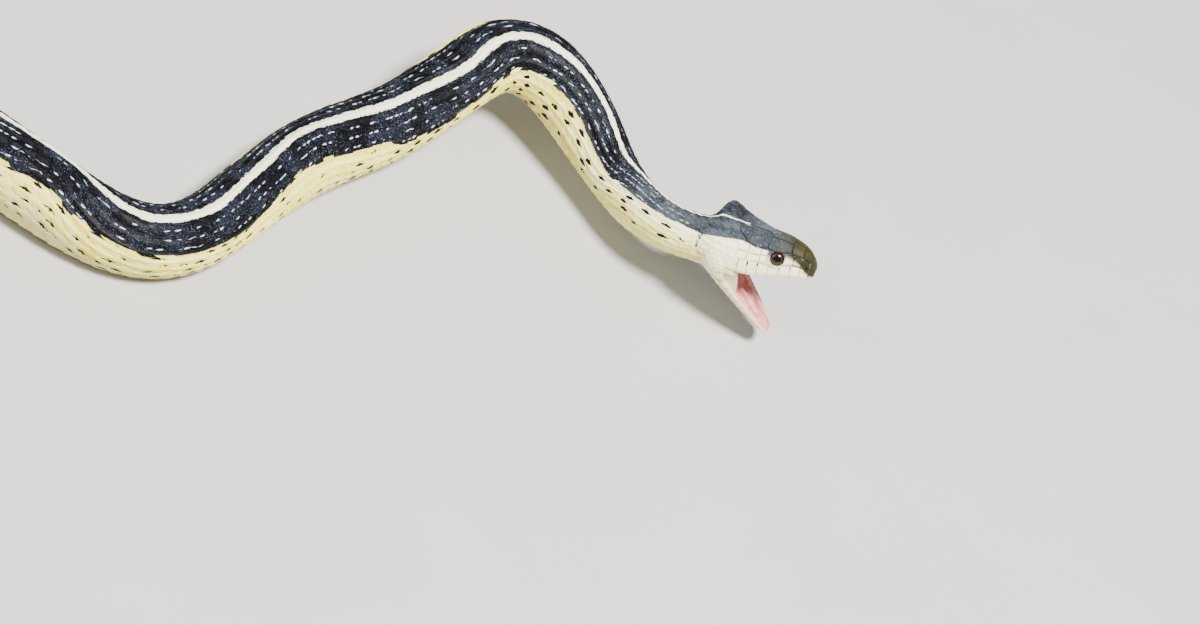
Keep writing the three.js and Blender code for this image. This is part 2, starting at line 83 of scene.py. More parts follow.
def add_camera():
    camera = bpy.data.objects.new("camera", bpy.data.cameras.new("camera"))
    bpy.context.scene.collection.objects.link(camera)
    elevation = math.radians(CAMERA_ELEVATION)
    back = Vector((0, -math.cos(elevation), math.sin(elevation)))
    level_right = Vector((1, 0, 0))
    level_up = back.cross(level_right)
    roll = math.radians(CAMERA_ROLL)
    right = level_right * math.cos(roll) + level_up * math.sin(roll)
    up = back.cross(right)
    turn = Matrix((right, up, back)).transposed().to_4x4()
    camera.matrix_world = Matrix.Translation(CAMERA_AIM + back * CAMERA_DISTANCE) @ turn
    camera.data.lens = CAMERA_LENS
    camera.data.sensor_width = 36
    camera.data.clip_end = 20
    bpy.context.scene.camera = camera
    return camera


camera = add_camera()
print("camera at", [round(x, 3) for x in camera.location])

# %% [markdown]
# ## The line under the belly
# A snake is one long tube that follows one line, so the line comes first. It runs under the belly,
# because that is what touches the floor: where its height is 0 the belly lies exactly on the floor.
# The line is a smooth cubic spline steered by a few points, the same as in the frame's solids.

# %% Sizes of the animal
TOTAL_LENGTH = 690
HEAD_LENGTH = 27
VENT_AT = 530
HEAD_PLACE = np.array([15.1, 29, 14.4])
HEAD_TURN = {"yaw": 2.9, "pitch": 15.3, "roll": 7}
GAPE = 48
FLOOR_MIDDLE = np.array([-135.935, -4.052, 0])
NECK_LEAD = 12
ROLL_FADE = 24
BELLY_ROUTE = [
    [-7, 35.5, 6.5], [-20, 45, 6.5], [-32, 52, 8.5], [-43.5, 55.5, 11], [-53.5, 51.5, 11.5],
    [-58, 40.5, 8.5], [-62.5, 28.5, 4], [-67.5, 16.5, 1], [-74.5, 4, 0], [-80.5, -10.5, 0],
    [-85, -30.5, 0], [-89.5, -52, 0], [-103, -63, 0], [-124, -62, 0], [-146, -59.5, 0],
    [-168, -58.5, 0], [-187, -50, 0], [-197, -31, 0], [-199, -8, 0], [-200, 15, 0],
    [-208, 35, 0], [-227, 45.5, 0], [-247, 37, 0], [-257, 18, 0], [-258, -5, 0],
    [-257.5, -28, 0], [-264, -49, 0], [-282, -59.5, 0], [-301, -50, 0], [-308, -29, 0],
    [-307, -7, 0], [-303, 15, 0], [-295, 35, 0], [-281, 51, 0], [-264, 64, 0], [-247, 77, 0],
]
print("points that steer the belly line:", len(BELLY_ROUTE))

# %% Helpers for numbers
rng = np.random.default_rng(7)


def smooth_value(pairs, at):
    """Reads a smooth value out of a short list of (place, value) pairs."""
    x, y = np.array(pairs, float).T
    at = np.asarray(at, float)
    last = len(x) - 1
    i = np.clip(np.searchsorted(x, at, side="left") - 1, 0, last - 1)
    before, after = np.maximum(i - 1, 0), np.minimum(i + 2, last)
    span = x[i + 1] - x[i]
    slope_a = (y[i + 1] - y[before]) / (x[i + 1] - x[before])
    slope_b = (y[after] - y[i]) / (x[after] - x[i])
    t = np.clip((at - x[i]) / span, 0, 1)
    return (
        (2 * t**3 - 3 * t**2 + 1) * y[i]
        + (t**3 - 2 * t**2 + t) * span * slope_a
        + (3 * t**2 - 2 * t**3) * y[i + 1]
        + (t**3 - t**2) * span * slope_b
    )


def smooth_step(low, high, at):
    t = np.clip((np.asarray(at, float) - low) / (high - low), 0, 1)
    return t * t * (3 - 2 * t)


def unit(vectors):
    return vectors / np.linalg.norm(vectors, axis=-1, keepdims=True)


print("a soft step a quarter of the way:", float(smooth_step(0, 1, 0.25)))

# %% The spline and its axes
head_turn = np.array(
    Euler([math.radians(a) for a in (-HEAD_TURN["roll"], -HEAD_TURN["pitch"], HEAD_TURN["yaw"])]).to_matrix()
)


def head_to_world(points):
    """Turns points on the head's own axes, x forward, y left and z up, into the frame's, in mm."""
    return np.asarray(points, float) @ head_turn.T + HEAD_PLACE - FLOOR_MIDDLE


def head_local(points):
    """The way back: points in the frame, in mm, on the head's own axes."""
    return (points - HEAD_PLACE + FLOOR_MIDDLE) @ head_turn


def spline_samples(points, per_span=120):
    t = np.arange(per_span) / per_span
    weights = np.stack([(1 - t)**3, 3 * t**3 - 6 * t**2 + 4, -3 * t**3 + 3 * t**2 + 3 * t + 1, t**3], 1) / 6
    spans = [weights @ points[k:k + 4] for k in range(len(points) - 3)]
    return np.concatenate(spans)


head_forward = head_turn @ np.array([1, 0, 0])
steering = np.array([HEAD_PLACE + head_forward * lead for lead in (NECK_LEAD, 0, -NECK_LEAD)] + BELLY_ROUTE)
line_points = spline_samples(steering) - FLOOR_MIDDLE
line_steps = np.linalg.norm(np.diff(line_points, axis=0), axis=1)
line_places = HEAD_LENGTH + np.concatenate([[0], np.cumsum(line_steps)])
line_along = unit(np.gradient(line_points, line_places, axis=0))
print("belly line runs from", HEAD_LENGTH, "to", round(line_places[-1], 1), "mm")


def body_axes(place):
    """The belly point and the axes at places: along to the tail, across to the right side, and up."""
    place = np.asarray(place, float)
    start = np.stack([np.interp(place, line_places, line_points[:, k]) for k in range(3)], -1)
    along = unit(np.stack([np.interp(place, line_places, line_along[:, k]) for k in range(3)], -1))
    start = start + along * np.minimum(place - HEAD_LENGTH, 0)[..., None]
    level = unit(np.cross([0, 0, 1.0], along))
    roll = np.radians(HEAD_TURN["roll"]) * smooth_step(0, ROLL_FADE, HEAD_LENGTH + ROLL_FADE - place)
    roll = roll[..., None]
    across = level * np.cos(roll) + np.cross(along, level) * np.sin(roll)
    return start, along, across, np.cross(along, across)


# %% [markdown]
# ## The body's outline
# A snake's trunk is a loaf: round on top and flattened under the belly. One function gives a point
# of that outline for any place along the animal, any angle round it and any lift off it. Skin,
# scales and belly plates all go through it, so they lie on each other with nothing to fit.
#
# The angle is counted on the animal itself, from the middle of its back to its right side. A living
# snake rolls a little in its bends, so the back's middle isn't always uppermost: `ROLL` says by
# how much.

# %% The outline
GIRTH = [
    (27, 5.9), (34, 5.6), (48, 6.1), (62, 6.7), (76, 8.1), (94, 8.9), (126, 8.5), (158, 9.1),
    (206, 8.2), (250, 9.2), (300, 9.5), (380, 9.5), (460, 8.7), (525, 7), (545, 6), (600, 4.1),
    (650, 2.3), (680, 1.2), (690, 0.7),
]
ROLL = [
    (14, 0), (20, -2), (23, -4), (26, -9), (29, -17), (33, -24), (40, -30), (47, -33), (52, -27), (57, -15),
    (61, -8), (65, -9), (70, -12), (76, -14), (82, -11), (88, -5), (94, 5), (100, 8), (107, 8), (116, 14),
    (124, 8), (131, 2), (145, -1), (159, -8), (171, -19), (185, -11), (197, -5), (206, 0), (218, 1),
    (226, 3), (233, -5), (239, -18), (246, -36), (253, -40), (285, -12), (310, 0), (690, 0),
]
LOAF_WIDTH = 1.03
BELLY_DROP = 0.88
SCUTE_RISE = 0.3
FLAT_ANGLE = 30
COAT_DEPTH = 0.42


def body_point(place, back_angle, lift):
    """A point of the body, in mm: the angle is from the back's middle to the right, in degrees."""
    start, _, across, up = body_axes(place)
    turn = np.radians(180 - (back_angle + smooth_value(ROLL, place)))
    radius = smooth_value(GIRTH, place)
    middle = BELLY_DROP * radius + SCUTE_RISE
    shrink = np.minimum(1, radius / 3)
    lift = lift * shrink
    drop = np.minimum(np.cos(turn) / math.cos(math.radians(FLAT_ANGLE)), 1)
    under = middle * (1 - drop) - lift * drop
    over = middle - (radius + lift) * np.cos(turn)
    height = np.where(np.cos(turn) > 0, under, over)
    out = LOAF_WIDTH * (radius + lift) * np.sin(turn)
    return start + across * out[..., None] + up * height[..., None]


print("thickness at mid-body:", round(2 * LOAF_WIDTH * float(smooth_value(GIRTH, 340)), 1), "mm")

# %% [markdown]
# ## Tools for meshes
# A flat grid is the most useful start for a shape that is a rolled or bent sheet: it is added as a
# primitive, and its corners are then moved to where a function of two numbers puts them. The edges
# that meet are merged and the open ends filled, so what comes out is closed.

# %% Mapped grids
def select_only(piece):
    bpy.ops.object.select_all(action="DESELECT")
    piece.select_set(True)
    bpy.context.view_layer.objects.active = piece


def mapped_grid(name, cells_along, cells_around, shape):
    """A closed form from a grid whose corners go where shape(u, v) says, in mm, u and v from 0 to 1."""
    bpy.ops.mesh.primitive_grid_add(
        x_subdivisions=cells_along, y_subdivisions=cells_around, size=1, calc_uvs=False
    )
    piece = bpy.context.object
    piece.name = piece.data.name = name
    flat = read_points(piece) + 0.5
    write_points(piece, shape(flat[:, 0], flat[:, 1]) * MM)
    close_mesh()
    return piece


def read_points(piece):
    points = np.empty(len(piece.data.vertices) * 3, np.float32)
    piece.data.vertices.foreach_get("co", points)
    return points.reshape(-1, 3).astype(float)


def write_points(piece, points):
    piece.data.vertices.foreach_set("co", points.astype(np.float32).ravel())
    piece.data.update()


def close_mesh(merge=True):
    """Merges what meets on the active piece, fills its open ends and turns its faces outwards."""
    bpy.ops.object.mode_set(mode="EDIT")
    bpy.ops.mesh.select_all(action="SELECT")
    if merge:
        bpy.ops.mesh.remove_doubles(threshold=1e-6)
    bpy.ops.mesh.select_all(action="DESELECT")
    bpy.ops.mesh.select_mode(type="EDGE")
    bpy.ops.mesh.select_non_manifold(extend=False, use_wire=False, use_multi_face=False, use_verts=False)
    bpy.ops.mesh.fill_holes(sides=0)
    bpy.ops.mesh.select_all(action="SELECT")
    bpy.ops.mesh.normals_make_consistent(inside=False)
    bpy.ops.object.mode_set(mode="OBJECT")


def drop_rim(piece, fall):
    """Pulls a skirt down all round a flat piece, and gives how many corners it had before."""
    before = len(piece.data.vertices)
    bpy.ops.object.mode_set(mode="EDIT")
    bpy.ops.mesh.select_all(action="DESELECT")
    bpy.ops.mesh.select_mode(type="EDGE")
    bpy.ops.mesh.select_non_manifold(extend=False)
    bpy.ops.mesh.extrude_edges_move(TRANSFORM_OT_translate={"value": (0, 0, -fall)})
    bpy.ops.object.mode_set(mode="OBJECT")
    return before


# %% Modifiers, joining and marks
def apply_modifier(piece, kind, **settings):
    select_only(piece)
    modifier = piece.modifiers.new(kind.lower(), kind)
    for key, value in settings.items():
        setattr(modifier, key, value)
    bpy.ops.object.modifier_apply(modifier=modifier.name)


def join_pieces(name, pieces):
    select_only(pieces[0])
    for piece in pieces:
        piece.select_set(True)
    bpy.ops.object.join()
    bpy.context.object.name = bpy.context.object.data.name = name
    return bpy.context.object


def count_triangles(piece):
    piece.data.calc_loop_triangles()
    return len(piece.data.loop_triangles)


def set_marks(piece, marks):
    """Numbers that each corner carries, by name. The materials read them."""
    for key, value in marks.items():
        values = np.broadcast_to(value, len(piece.data.vertices)).astype(np.float32)
        piece.data.attributes.new(key, "FLOAT", "POINT").data.foreach_set("value", values)


def read_mark(piece, name):
    data = piece.data.attributes[name].data
    values = np.empty(len(data), np.float32)
    data.foreach_get("value", values)
    return values.astype(float)


# %% [markdown]
# ## Shader maths
# Colours here depend on many small numbers: which row a scale is in, how near its edge a point is,
# how much a scale differs from its neighbours. Written as nodes by hand that becomes a large web.
# A small class wraps one output of a node, and Python's own signs then add the Math nodes.

# %% A socket with signs
class Wire:
    def __init__(self, sheet, socket):
        self.sheet, self.socket = sheet, socket

    def _math(self, operation, first, second):
        return self.sheet.node("ShaderNodeMath", {"operation": operation}, first, second)

    def __add__(self, other):
        return self._math("ADD", self, other)

    __radd__ = __add__

    def __mul__(self, other):
        return self._math("MULTIPLY", self, other)

    __rmul__ = __mul__

    def __sub__(self, other):
        return self._math("SUBTRACT", self, other)

    def __rsub__(self, other):
        return self._math("SUBTRACT", other, self)

    def step(self, low, high):
        """0 below low and 1 above high, with a soft rise between."""
        settings = {"interpolation_type": "SMOOTHSTEP"}
        return self.sheet.node("ShaderNodeMapRange", settings, self, low, high, 0.0, 1.0)


class Sheet:
    """The node tree of one material."""

    def __init__(self, name):
        self.material = bpy.data.materials.new(name)
        self.material.use_nodes = True
        self.nodes = self.material.node_tree.nodes
        self.surface = self.nodes["Principled BSDF"]

    def node(self, kind, settings, *values, output=0, **named):
        made = self.nodes.new(kind)
        for key, value in settings.items():
            setattr(made, key, value)
        for key, value in [*enumerate(values), *named.items()]:
            self.plug(made.inputs[key], value)
        return Wire(self, made.outputs[output])

    def plug(self, target, value):
        if isinstance(value, Wire):
            self.material.node_tree.links.new(value.socket, target)
        elif value is not None:
            target.default_value = value

    def mix(self, share, first, second):
        """A blend of two colours, each a wire or a screen colour as three numbers from 0 to 255."""
        colours = [paint(*value) if isinstance(value, tuple) else value for value in (first, second)]
        not_colours = [None] * 5
        return self.node("ShaderNodeMix", {"data_type": "RGBA"}, share, *not_colours, *colours, output=2)

    def attribute(self, name):
        return self.node("ShaderNodeAttribute", {"attribute_name": name}, output=2)

    def noise(self, scale, detail):
        """A cloudy pattern fixed to the piece: scale is about how many clouds there are in a metre."""
        place = self.node("ShaderNodeTexCoord", {}, output=3)
        return self.node("ShaderNodeTexNoise", {}, Vector=place, Scale=scale, Detail=detail)

    def bump(self, height, strength, distance):
        return self.node("ShaderNodeBump", {}, Height=height, Strength=strength, Distance=distance)

    def finish(self, colour, roughness, normal=None, **fixed):
        self.plug(self.surface.inputs["Base Color"], colour)
        self.plug(self.surface.inputs["Roughness"], roughness)
        if normal is not None:
            self.plug(self.surface.inputs["Normal"], normal)
        for key, value in fixed.items():
            self.surface.inputs[key.replace("_", " ")].default_value = value
        return self.material


def paint(red, green, blue):
    """A colour as it looks on a screen, 0 to 255, in the values that a shader takes."""
    linear = [((c / 255 + 0.055) / 1.055)**2.4 if c > 10 else c / 255 / 12.92 for c in (red, green, blue)]
    return (*linear, 1.0)


print("a middle grey on the screen is", round(paint(128, 128, 128)[0], 3), "to a shader")

# %% [markdown]
# ## The animal's colours
# A garter snake wears three pale stripes on a dark ground: a narrow cream one down the middle of
# the back, and a broad yellow one along each flank, with a dark band between them. The dark band
# is almost black with a blue cast, and pale skin shows as specks between its scales. Black flecks
# sit on the edges of the flank's scales. Under the yellow the belly is a dull straw colour.
#
# Each vertex carries how much of each marking it has, and one material mixes the paints from that.
# The markings follow the scales, which image textures on such small things couldn't do cleanly.

# %% The markings as numbers
STRIPE_HALF = [(17, 0.3), (22, 0.6), (28, 1.2), (36, 2.6), (50, 4.2), (60, 5.6), (90, 6.8), (690, 7.2)]
DARK_EDGE = [
    (20, 50), (29, 62), (36, 62), (45, 73), (55, 70), (63, 60), (116, 59), (128, 74), (138, 73), (150, 60),
    (172, 58), (180, 52), (197, 62), (232, 64), (243, 76), (257, 79), (290, 62), (690, 60),
]
FLANK_EDGE = 112


def plain_marks(**own):
    """No marking anywhere, apart from those given."""
    return {"dark": 0, "stripe": 0, "belly": 0, "fleck": 0, "speck": 0, "head": 0, **own}


def body_markings(place, back_angle, jitter=0.0):
    """How much of the stripe, the dark band and the belly colour there is, at places and angles."""
    side = np.abs(back_angle)
    half = smooth_value(STRIPE_HALF, place)
    stripe = 1 - smooth_step(half - 1.6, half + 1.8, side + jitter * 0.25)
    edge = smooth_value(DARK_EDGE, place)
    dark = (1 - smooth_step(edge - 4, edge + 4, side + jitter)) * (1 - stripe)
    belly = smooth_step(FLANK_EDGE - 20, FLANK_EDGE + 20, side + jitter) * smooth_step(40, 110, place)
    head = 0.8 * (1 - smooth_step(40, 92 - 30 * dark, place)) * (1 - 0.75 * smooth_step(84, 108, side))
    return {"stripe": stripe, "dark": dark, "belly": belly, "head": head}


for angle in (0, 30, 90, 180):
    shares = body_markings(300.0, float(angle)).items()
    print("at", angle, "degrees from the back:", {key: round(float(share), 2) for key, share in shares})

# %% The scale material
def scale_material(name):
    sheet = Sheet(name)
    dark, stripe = sheet.attribute("dark"), sheet.attribute("stripe")
    belly, fleck = sheet.attribute("belly"), sheet.attribute("fleck")
    speck, tone = sheet.attribute("speck"), sheet.attribute("tone")
    head, snout, rim = sheet.attribute("head"), sheet.attribute("snout"), sheet.attribute("rim")
    patch, cloud = sheet.noise(150, 2), sheet.noise(260, 4)
    grain, salt, ragged = sheet.noise(2600, 3), sheet.noise(3000, 1), sheet.noise(1150, 3)
    rough_edge = (ragged - 0.5) * 0.9
    soft = (dark + rough_edge * 0.4).step(0.1, 0.9)
    mottled = rough_edge * 0.5 + (cloud - 0.5) * head * dark.step(0, 0.25) * 1.1
    dark = (dark + mottled).step(0.36, 0.62) * (1 - snout) + soft * snout
    stripe = (stripe + rough_edge * 0.7).step(0.32, 0.6)
    flank = sheet.mix(tone, (236, 224, 96), (250, 243, 142))
    # Ochre mottles over the yellow: partly the animal's own mottling, and partly painted shade in a band
    # where the flank turns under to the belly.
    flank = sheet.mix(cloud.step(0.45, 0.75) * (0.35 + belly * (1 - belly) * 1.6), flank, (206, 172, 74))
    lip = sheet.mix(tone, (250, 243, 190), (253, 250, 220))
    lip = sheet.mix(salt.step(0.66, 0.72) * 0.14, lip, (120, 120, 104))
    straw = sheet.mix(cloud.step(0.4, 0.7), (230, 220, 152), (212, 194, 122))
    night = sheet.mix(tone, (4, 4, 6), (9, 10, 15))
    night = sheet.mix(patch.step(0.46, 0.6) * 0.6, night, sheet.mix(tone, (12, 14, 23), (26, 30, 44)))
    slate = sheet.mix(tone, (38, 43, 48), (60, 67, 72))
    salted = salt.step(0.56, 0.72) * (patch.step(0.38, 0.56) * 0.18 + 0.06 + head * 0.16) * (1 - snout)
    olive = sheet.mix(cloud.step(0.35, 0.7), (58, 52, 26), (36, 37, 26))
    slate = sheet.mix(cloud.step(0.46, 0.6) * 0.5, slate, (88, 96, 100))
    crown = sheet.mix(snout, slate, olive)
    top = sheet.mix(salted, sheet.mix(head, night, crown), (150, 160, 180))
    top = sheet.mix((speck + rough_edge * 0.5).step(0.3, 0.46) * speck.step(0, 0.12), top, (176, 186, 206))
    colour = sheet.mix(belly, sheet.mix(head, flank, lip), straw)
    colour = sheet.mix(dark, colour, top)
    colour = sheet.mix(stripe, colour, sheet.mix(tone, (228, 229, 196), (245, 245, 226)))
    # Near-black flecks on the scales and lip sutures. On the head plates the same mark also paints the shade
    # in the nostril pits.
    spot = fleck + rough_edge
    colour = sheet.mix(spot.step(0.3, 0.45) * fleck.step(0, 0.12), colour, (14, 12, 10))
    # Painted shade: the rims of the head plates are darkened, as shade in the seams between them.
    colour = sheet.mix(rim * (0.2 + 0.25 * dark), colour, (30, 30, 30))
    colour = sheet.mix(grain.step(0.35, 0.7) * (0.1 - 0.08 * dark), colour, (60, 52, 40))
    roughness = grain * 0.14 + 0.34 + dark * 0.06
    normal = sheet.bump(grain, 0.12, 0.0002)
    return sheet.finish(colour, roughness, normal, Specular_IOR_Level=0.07)


scale_paint = scale_material("scale_paint")
print("material:", scale_paint.name, "with", len(scale_paint.node_tree.nodes), "nodes")

# %% [markdown]
# ## One keeled scale
# A garter snake's back scale is a narrow leaf with a ridge, the keel, down its middle. It grows
# from the skin at its front and lies over the next ones behind, as a roof tile does. It is
# modelled once, flat and one unit long: a grid is added, pinched to the leaf's outline, raised
# along the keel, and its rim is pulled down into the skin, so each scale is a closed wedge.

# %% Modelling the scale
RIM_FALL = 0.4
RIM_SINK = -1.15


def stop_at(share, stops):
    """Which of a list's evenly counted stops each share from 0 to 1 stands for."""
    return np.array(stops)[np.rint(share * (len(stops) - 1)).astype(int)]


def model_leaf(name, cells_along, cells_across, shape):
    """A leaf on its own axes: x to its tip, y across from -1 to 1, z up from -1 at the root."""
    bpy.ops.mesh.primitive_grid_add(
        x_subdivisions=cells_along, y_subdivisions=cells_across, size=1, calc_uvs=False
    )
    leaf = bpy.context.object
    flat = read_points(leaf) + 0.5
    write_points(leaf, np.stack(shape(flat[:, 0], flat[:, 1]), 1))
    before = drop_rim(leaf, RIM_FALL)
    points = read_points(leaf)
    points[before:, 2] = RIM_SINK
    write_points(leaf, points)
    select_only(leaf)
    close_mesh()
    corners, faces = read_points(leaf), [tuple(face.vertices) for face in leaf.data.polygons]
    bpy.data.objects.remove(leaf)
    print(name, "has", len(corners), "corners and", len(faces), "faces")
    return corners, faces


# %% The scale's shape
LEAF_ALONG = [0, 0.25, 0.5, 0.72, 0.89, 1]
LEAF_ACROSS = [-1, -0.52, -0.16, 0, 0.16, 0.52, 1]
LEAF_OUTLINE = [(0, 0.5), (0.2, 0.82), (0.42, 1), (0.66, 0.84), (0.86, 0.5), (1, 0.12)]
KEEL_HALF_WIDTH = 0.24


def scale_shape(keel, crown):
    """A scale with a keel and a crown of some height, as a function for model_leaf."""
    def shape(u, v):
        along, across = stop_at(u, LEAF_ALONG), stop_at(v, LEAF_ACROSS)
        ridge = keel * np.maximum(0, 1 - np.abs(across) / KEEL_HALF_WIDTH)
        ridge = ridge * np.sin(np.pi * np.clip(along * 0.86 + 0.1, 0, 1))
        edge = -0.16 * across**4
        height = -0.92 + 0.86 * along + crown * np.sin(np.pi * along) + ridge + edge
        return along, across * smooth_value(LEAF_OUTLINE, along), height
    return shape


KEEL_HEIGHT = 0.58
LEAF_CELLS = (len(LEAF_ALONG) - 1, len(LEAF_ACROSS) - 1)
keeled_leaf = model_leaf("keeled_scale", *LEAF_CELLS, scale_shape(KEEL_HEIGHT, 0.10))
smooth_leaf = model_leaf("smooth_scale", *LEAF_CELLS, scale_shape(0.0, 0.16))

# %% [markdown]
# ## Copying a shape many times
# Thousands of scales as thousands of objects would be slow, so the copies go into one mesh. NumPy
# repeats the faces, and the corners of every copy come already bent to the surface they lie on.
# Each copy also gets a tiny patch of its own on a flat map of the skin, named OFBake.

# %% Joined copies
BAKE_STRIPS = 5
BAKE_PATCH = 0.003
SCALE_CREASE = 52


def bake_spot(place, back_angle):
    """Where a place on the skin lies on the flat map: the body in a few strips, one over another."""
    share = np.clip(np.asarray(place, float) / TOTAL_LENGTH, 0, 0.9999) * BAKE_STRIPS
    strip = np.floor(share)
    u = 0.02 + (share - strip) * 0.96
    v = (strip + 0.5 + np.asarray(back_angle, float) / 360 * 0.9) / (BAKE_STRIPS + 1)
    return np.stack([u, v], -1)


def joined_copies(name, leaf, points, spots, marks):
    """One mesh of many copies: points in mm are copies x corners x 3, spots where each lies on the flat map.
    """
    corners, faces = leaf
    count, size = points.shape[:2]
    loops = np.concatenate([np.array(face) for face in faces])
    lengths = np.array([len(face) for face in faces])
    starts = np.concatenate([[0], np.cumsum(lengths)[:-1]])
    mesh = bpy.data.meshes.new(name)
    mesh.vertices.add(count * size)
    mesh.vertices.foreach_set("co", (points * MM).astype(np.float32).ravel())
    shifts = np.arange(count)[:, None]
    mesh.loops.add(count * len(loops))
    all_loops = (loops[None] + shifts * size).ravel()
    mesh.loops.foreach_set("vertex_index", all_loops.astype(np.int32))
    mesh.polygons.add(count * len(faces))
    mesh.polygons.foreach_set("loop_start", (starts[None] + shifts * len(loops)).ravel().astype(np.int32))
    mesh.polygons.foreach_set("loop_total", np.tile(lengths, count).astype(np.int32))
    mesh.update(calc_edges=True)
    mesh.validate()
    for key, value in marks.items():
        values = np.broadcast_to(value, (count, size)).astype(np.float32).ravel()
        mesh.attributes.new(key, "FLOAT", "POINT").data.foreach_set("value", values)
    own = np.stack([corners[:, 0] - 0.5, corners[:, 1] * 0.5], 1) * BAKE_PATCH
    patches = (spots[:, None] + own[None]).reshape(-1, 2)
    bake = mesh.uv_layers.new(name="OFBake")
    bake.uv.foreach_set("vector", patches[all_loops].astype(np.float32).ravel())
    mesh.materials.append(scale_paint)
    piece = bpy.data.objects.new(name, mesh)
    bpy.context.scene.collection.objects.link(piece)
    select_only(piece)
    bpy.ops.object.shade_smooth_by_angle(angle=math.radians(SCALE_CREASE))
    print(name, "copies", count, "triangles", count_triangles(piece))
    return piece


# %% [markdown]
# ## The scales of the back and flanks
# There are 19 rows of scales round the trunk and fewer on the tail. The rows are staggered, so
# the tips lie between the roots of their neighbours. A ring of scales goes with each belly plate,
# and the step from ring to ring grows from the neck to the middle of the body and shrinks again
# towards the tail's tip.

# %% Rings and rows
RING_PITCH = [(19, 2.1), (40, 2.7), (80, 3.2), (160, 3.5), (400, 3.7), (525, 3.2), (600, 2.4), (690, 1.3)]
ROW_ZONES = [(19, 534, 19), (534, 566, 13), (566, 606, 10), (606, 646, 8), (646, 690, 6)]
DORSAL_SPAN = 279.3


def ring_places(start, end):
    places = [start]
    while places[-1] < end:
        places.append(places[-1] + float(smooth_value(RING_PITCH, places[-1])))
    return np.array(places)


all_rings = ring_places(19.4, TOTAL_LENGTH - 1)
print("rings of scales:", len(all_rings))


def scale_lattice(start, end):
    """Roots of the scales between two places: place, angle, row number from the back's middle, pitch."""
    roots = []
    for zone_start, zone_end, rows in ROW_ZONES:
        step = DORSAL_SPAN / rows
        for ring, place in enumerate(all_rings):
            if max(start, zone_start) <= place < min(end, zone_end):
                pitch = float(smooth_value(RING_PITCH, place))
                for row in range(rows):
                    number = row - (rows - 1) / 2
                    shift = pitch / 2 if row % 2 else 0
                    roots.append((place + shift, number * step, number * 19 / rows, pitch, step, ring))
    return np.array(roots)


# %% Markings of single scales
FLECK_ROWS = [(5, 0.3, 0.8), (6, 0.8, 1), (7, 0.7, 1), (8, 0.7, 1), (9, 0.55, 0.8)]


def scale_marks(leaf, places, angles, rows, rings, tones):
    """The markings at every corner of every scale, and the flecks and specks that each scale has."""
    corners = leaf[0]
    count = len(tones)
    jitter = rng.uniform(-4, 4, (count, 1))
    marks = body_markings(places, angles, jitter)
    along, across = corners[None, :, 0], corners[None, :, 1]
    side = np.rint(np.abs(rows))[:, None]
    chance, shift = rng.random((count, 1)), rng.uniform(-0.08, 0.08, (count, 1))
    upper = across * -np.sign(rows)[:, None]
    seen = smooth_step(0.1, 0.36, along + shift) * (1 - smooth_step(0.62, 0.96, along + shift))
    beat = (rings[:, None] + side) % 2
    flecked = np.zeros((count, 1))
    for row, share, weight in FLECK_ROWS:
        flecked = flecked + (side == row) * (beat == 0) * (chance < share) * weight
    flecked = np.maximum(flecked, (side > 4) * (chance > 0.55) * smooth_step(185, 215, places) * 0.8)
    thin = 0.45 * smooth_step(120, 170, places)
    marks["fleck"] = smooth_step(-0.25 + thin, 0.65 + thin / 2, upper) * seen * flecked
    marks["fleck"] = marks["fleck"] * rng.uniform(0.5, 1.1, (count, 1))
    marks["fleck"] = marks["fleck"] * (1 - marks["dark"]) * (1 - marks["stripe"])
    cluster = (rings[:, None] + np.rint(side / 4)) % 2
    strength = np.where(cluster == 0, rng.uniform(0.7, 1.1, (count, 1)), rng.uniform(0.2, 0.9, (count, 1)))
    strength = np.maximum(strength, 0.9 * (1 - smooth_step(52, 80, places)))
    outer = np.maximum(across * np.where(chance < 0.7, 1, 0), -across * np.where(chance > 0.3, 1, 0))
    middle = smooth_step(0.28, 0.5, along + 2 * shift) * (1 - smooth_step(0.52, 0.8, along + 2 * shift))
    marks["speck"] = smooth_step(0.42, 0.95, outer) * middle * strength * marks["dark"]
    marks["tone"] = tones[:, None]
    return marks


# %% Laying the scales
TAIL_TIP = TOTAL_LENGTH - 0.05
SCALE_OVERLAP = 1.5
SCALE_SPREAD = 0.6


def lay_scales(name, leaf, roots):
    place, angle, row, pitch, step, ring = roots.T
    corners = leaf[0]
    length = pitch * SCALE_OVERLAP * (1 + 0.03 * rng.standard_normal(len(roots)))
    spread = step * SCALE_SPREAD
    places = place[:, None] + corners[None, :, 0] * length[:, None]
    angles = angle[:, None] + corners[None, :, 1] * spread[:, None]
    places = np.minimum(places, TAIL_TIP)
    tilt = rng.uniform(-0.04, 0.05, len(roots))[:, None] * corners[None, :, 0]
    keeled = smooth_step(9, 4, np.abs(row))[:, None]
    heights = corners[None, :, 2] * keeled + smooth_leaf[0][None, :, 2] * (1 - keeled)
    lifts = (heights + tilt) * COAT_DEPTH
    tones = np.clip(0.5 + 0.28 * rng.standard_normal(len(roots)), 0, 1)
    marks = scale_marks(leaf, places, angles, row, ring, tones)
    return joined_copies(name, leaf, body_point(places, angles, lifts), bake_spot(place, angle), marks)


NAPE_END = 30
COAT_LENGTHS = [
    ("scales_neck", NAPE_END, 98), ("scales_trunk_1", 98, 222), ("scales_trunk_2", 222, 366),
    ("scales_trunk_3", 366, VENT_AT), ("scales_tail", VENT_AT, TOTAL_LENGTH),
]
coat = [lay_scales(name, keeled_leaf, scale_lattice(start, end)) for name, start, end in COAT_LENGTHS]

# %% [markdown]
# ## The belly plates
# Under the trunk each ring has one broad plate, the ventral scute, which the snake walks on. Its
# back edge is free and overlaps the next. Past the vent the plates come in pairs.

# %% Belly plates
SCUTE_HALF_ANGLE = 47
PLATE_ALONG = [0, 0.3, 0.65, 0.93, 1]
PLATE_CELLS = {"broad": 14, "half": 6}
PLATE_OVERLAP = 1.22
PLATE_LIFT = 0.75


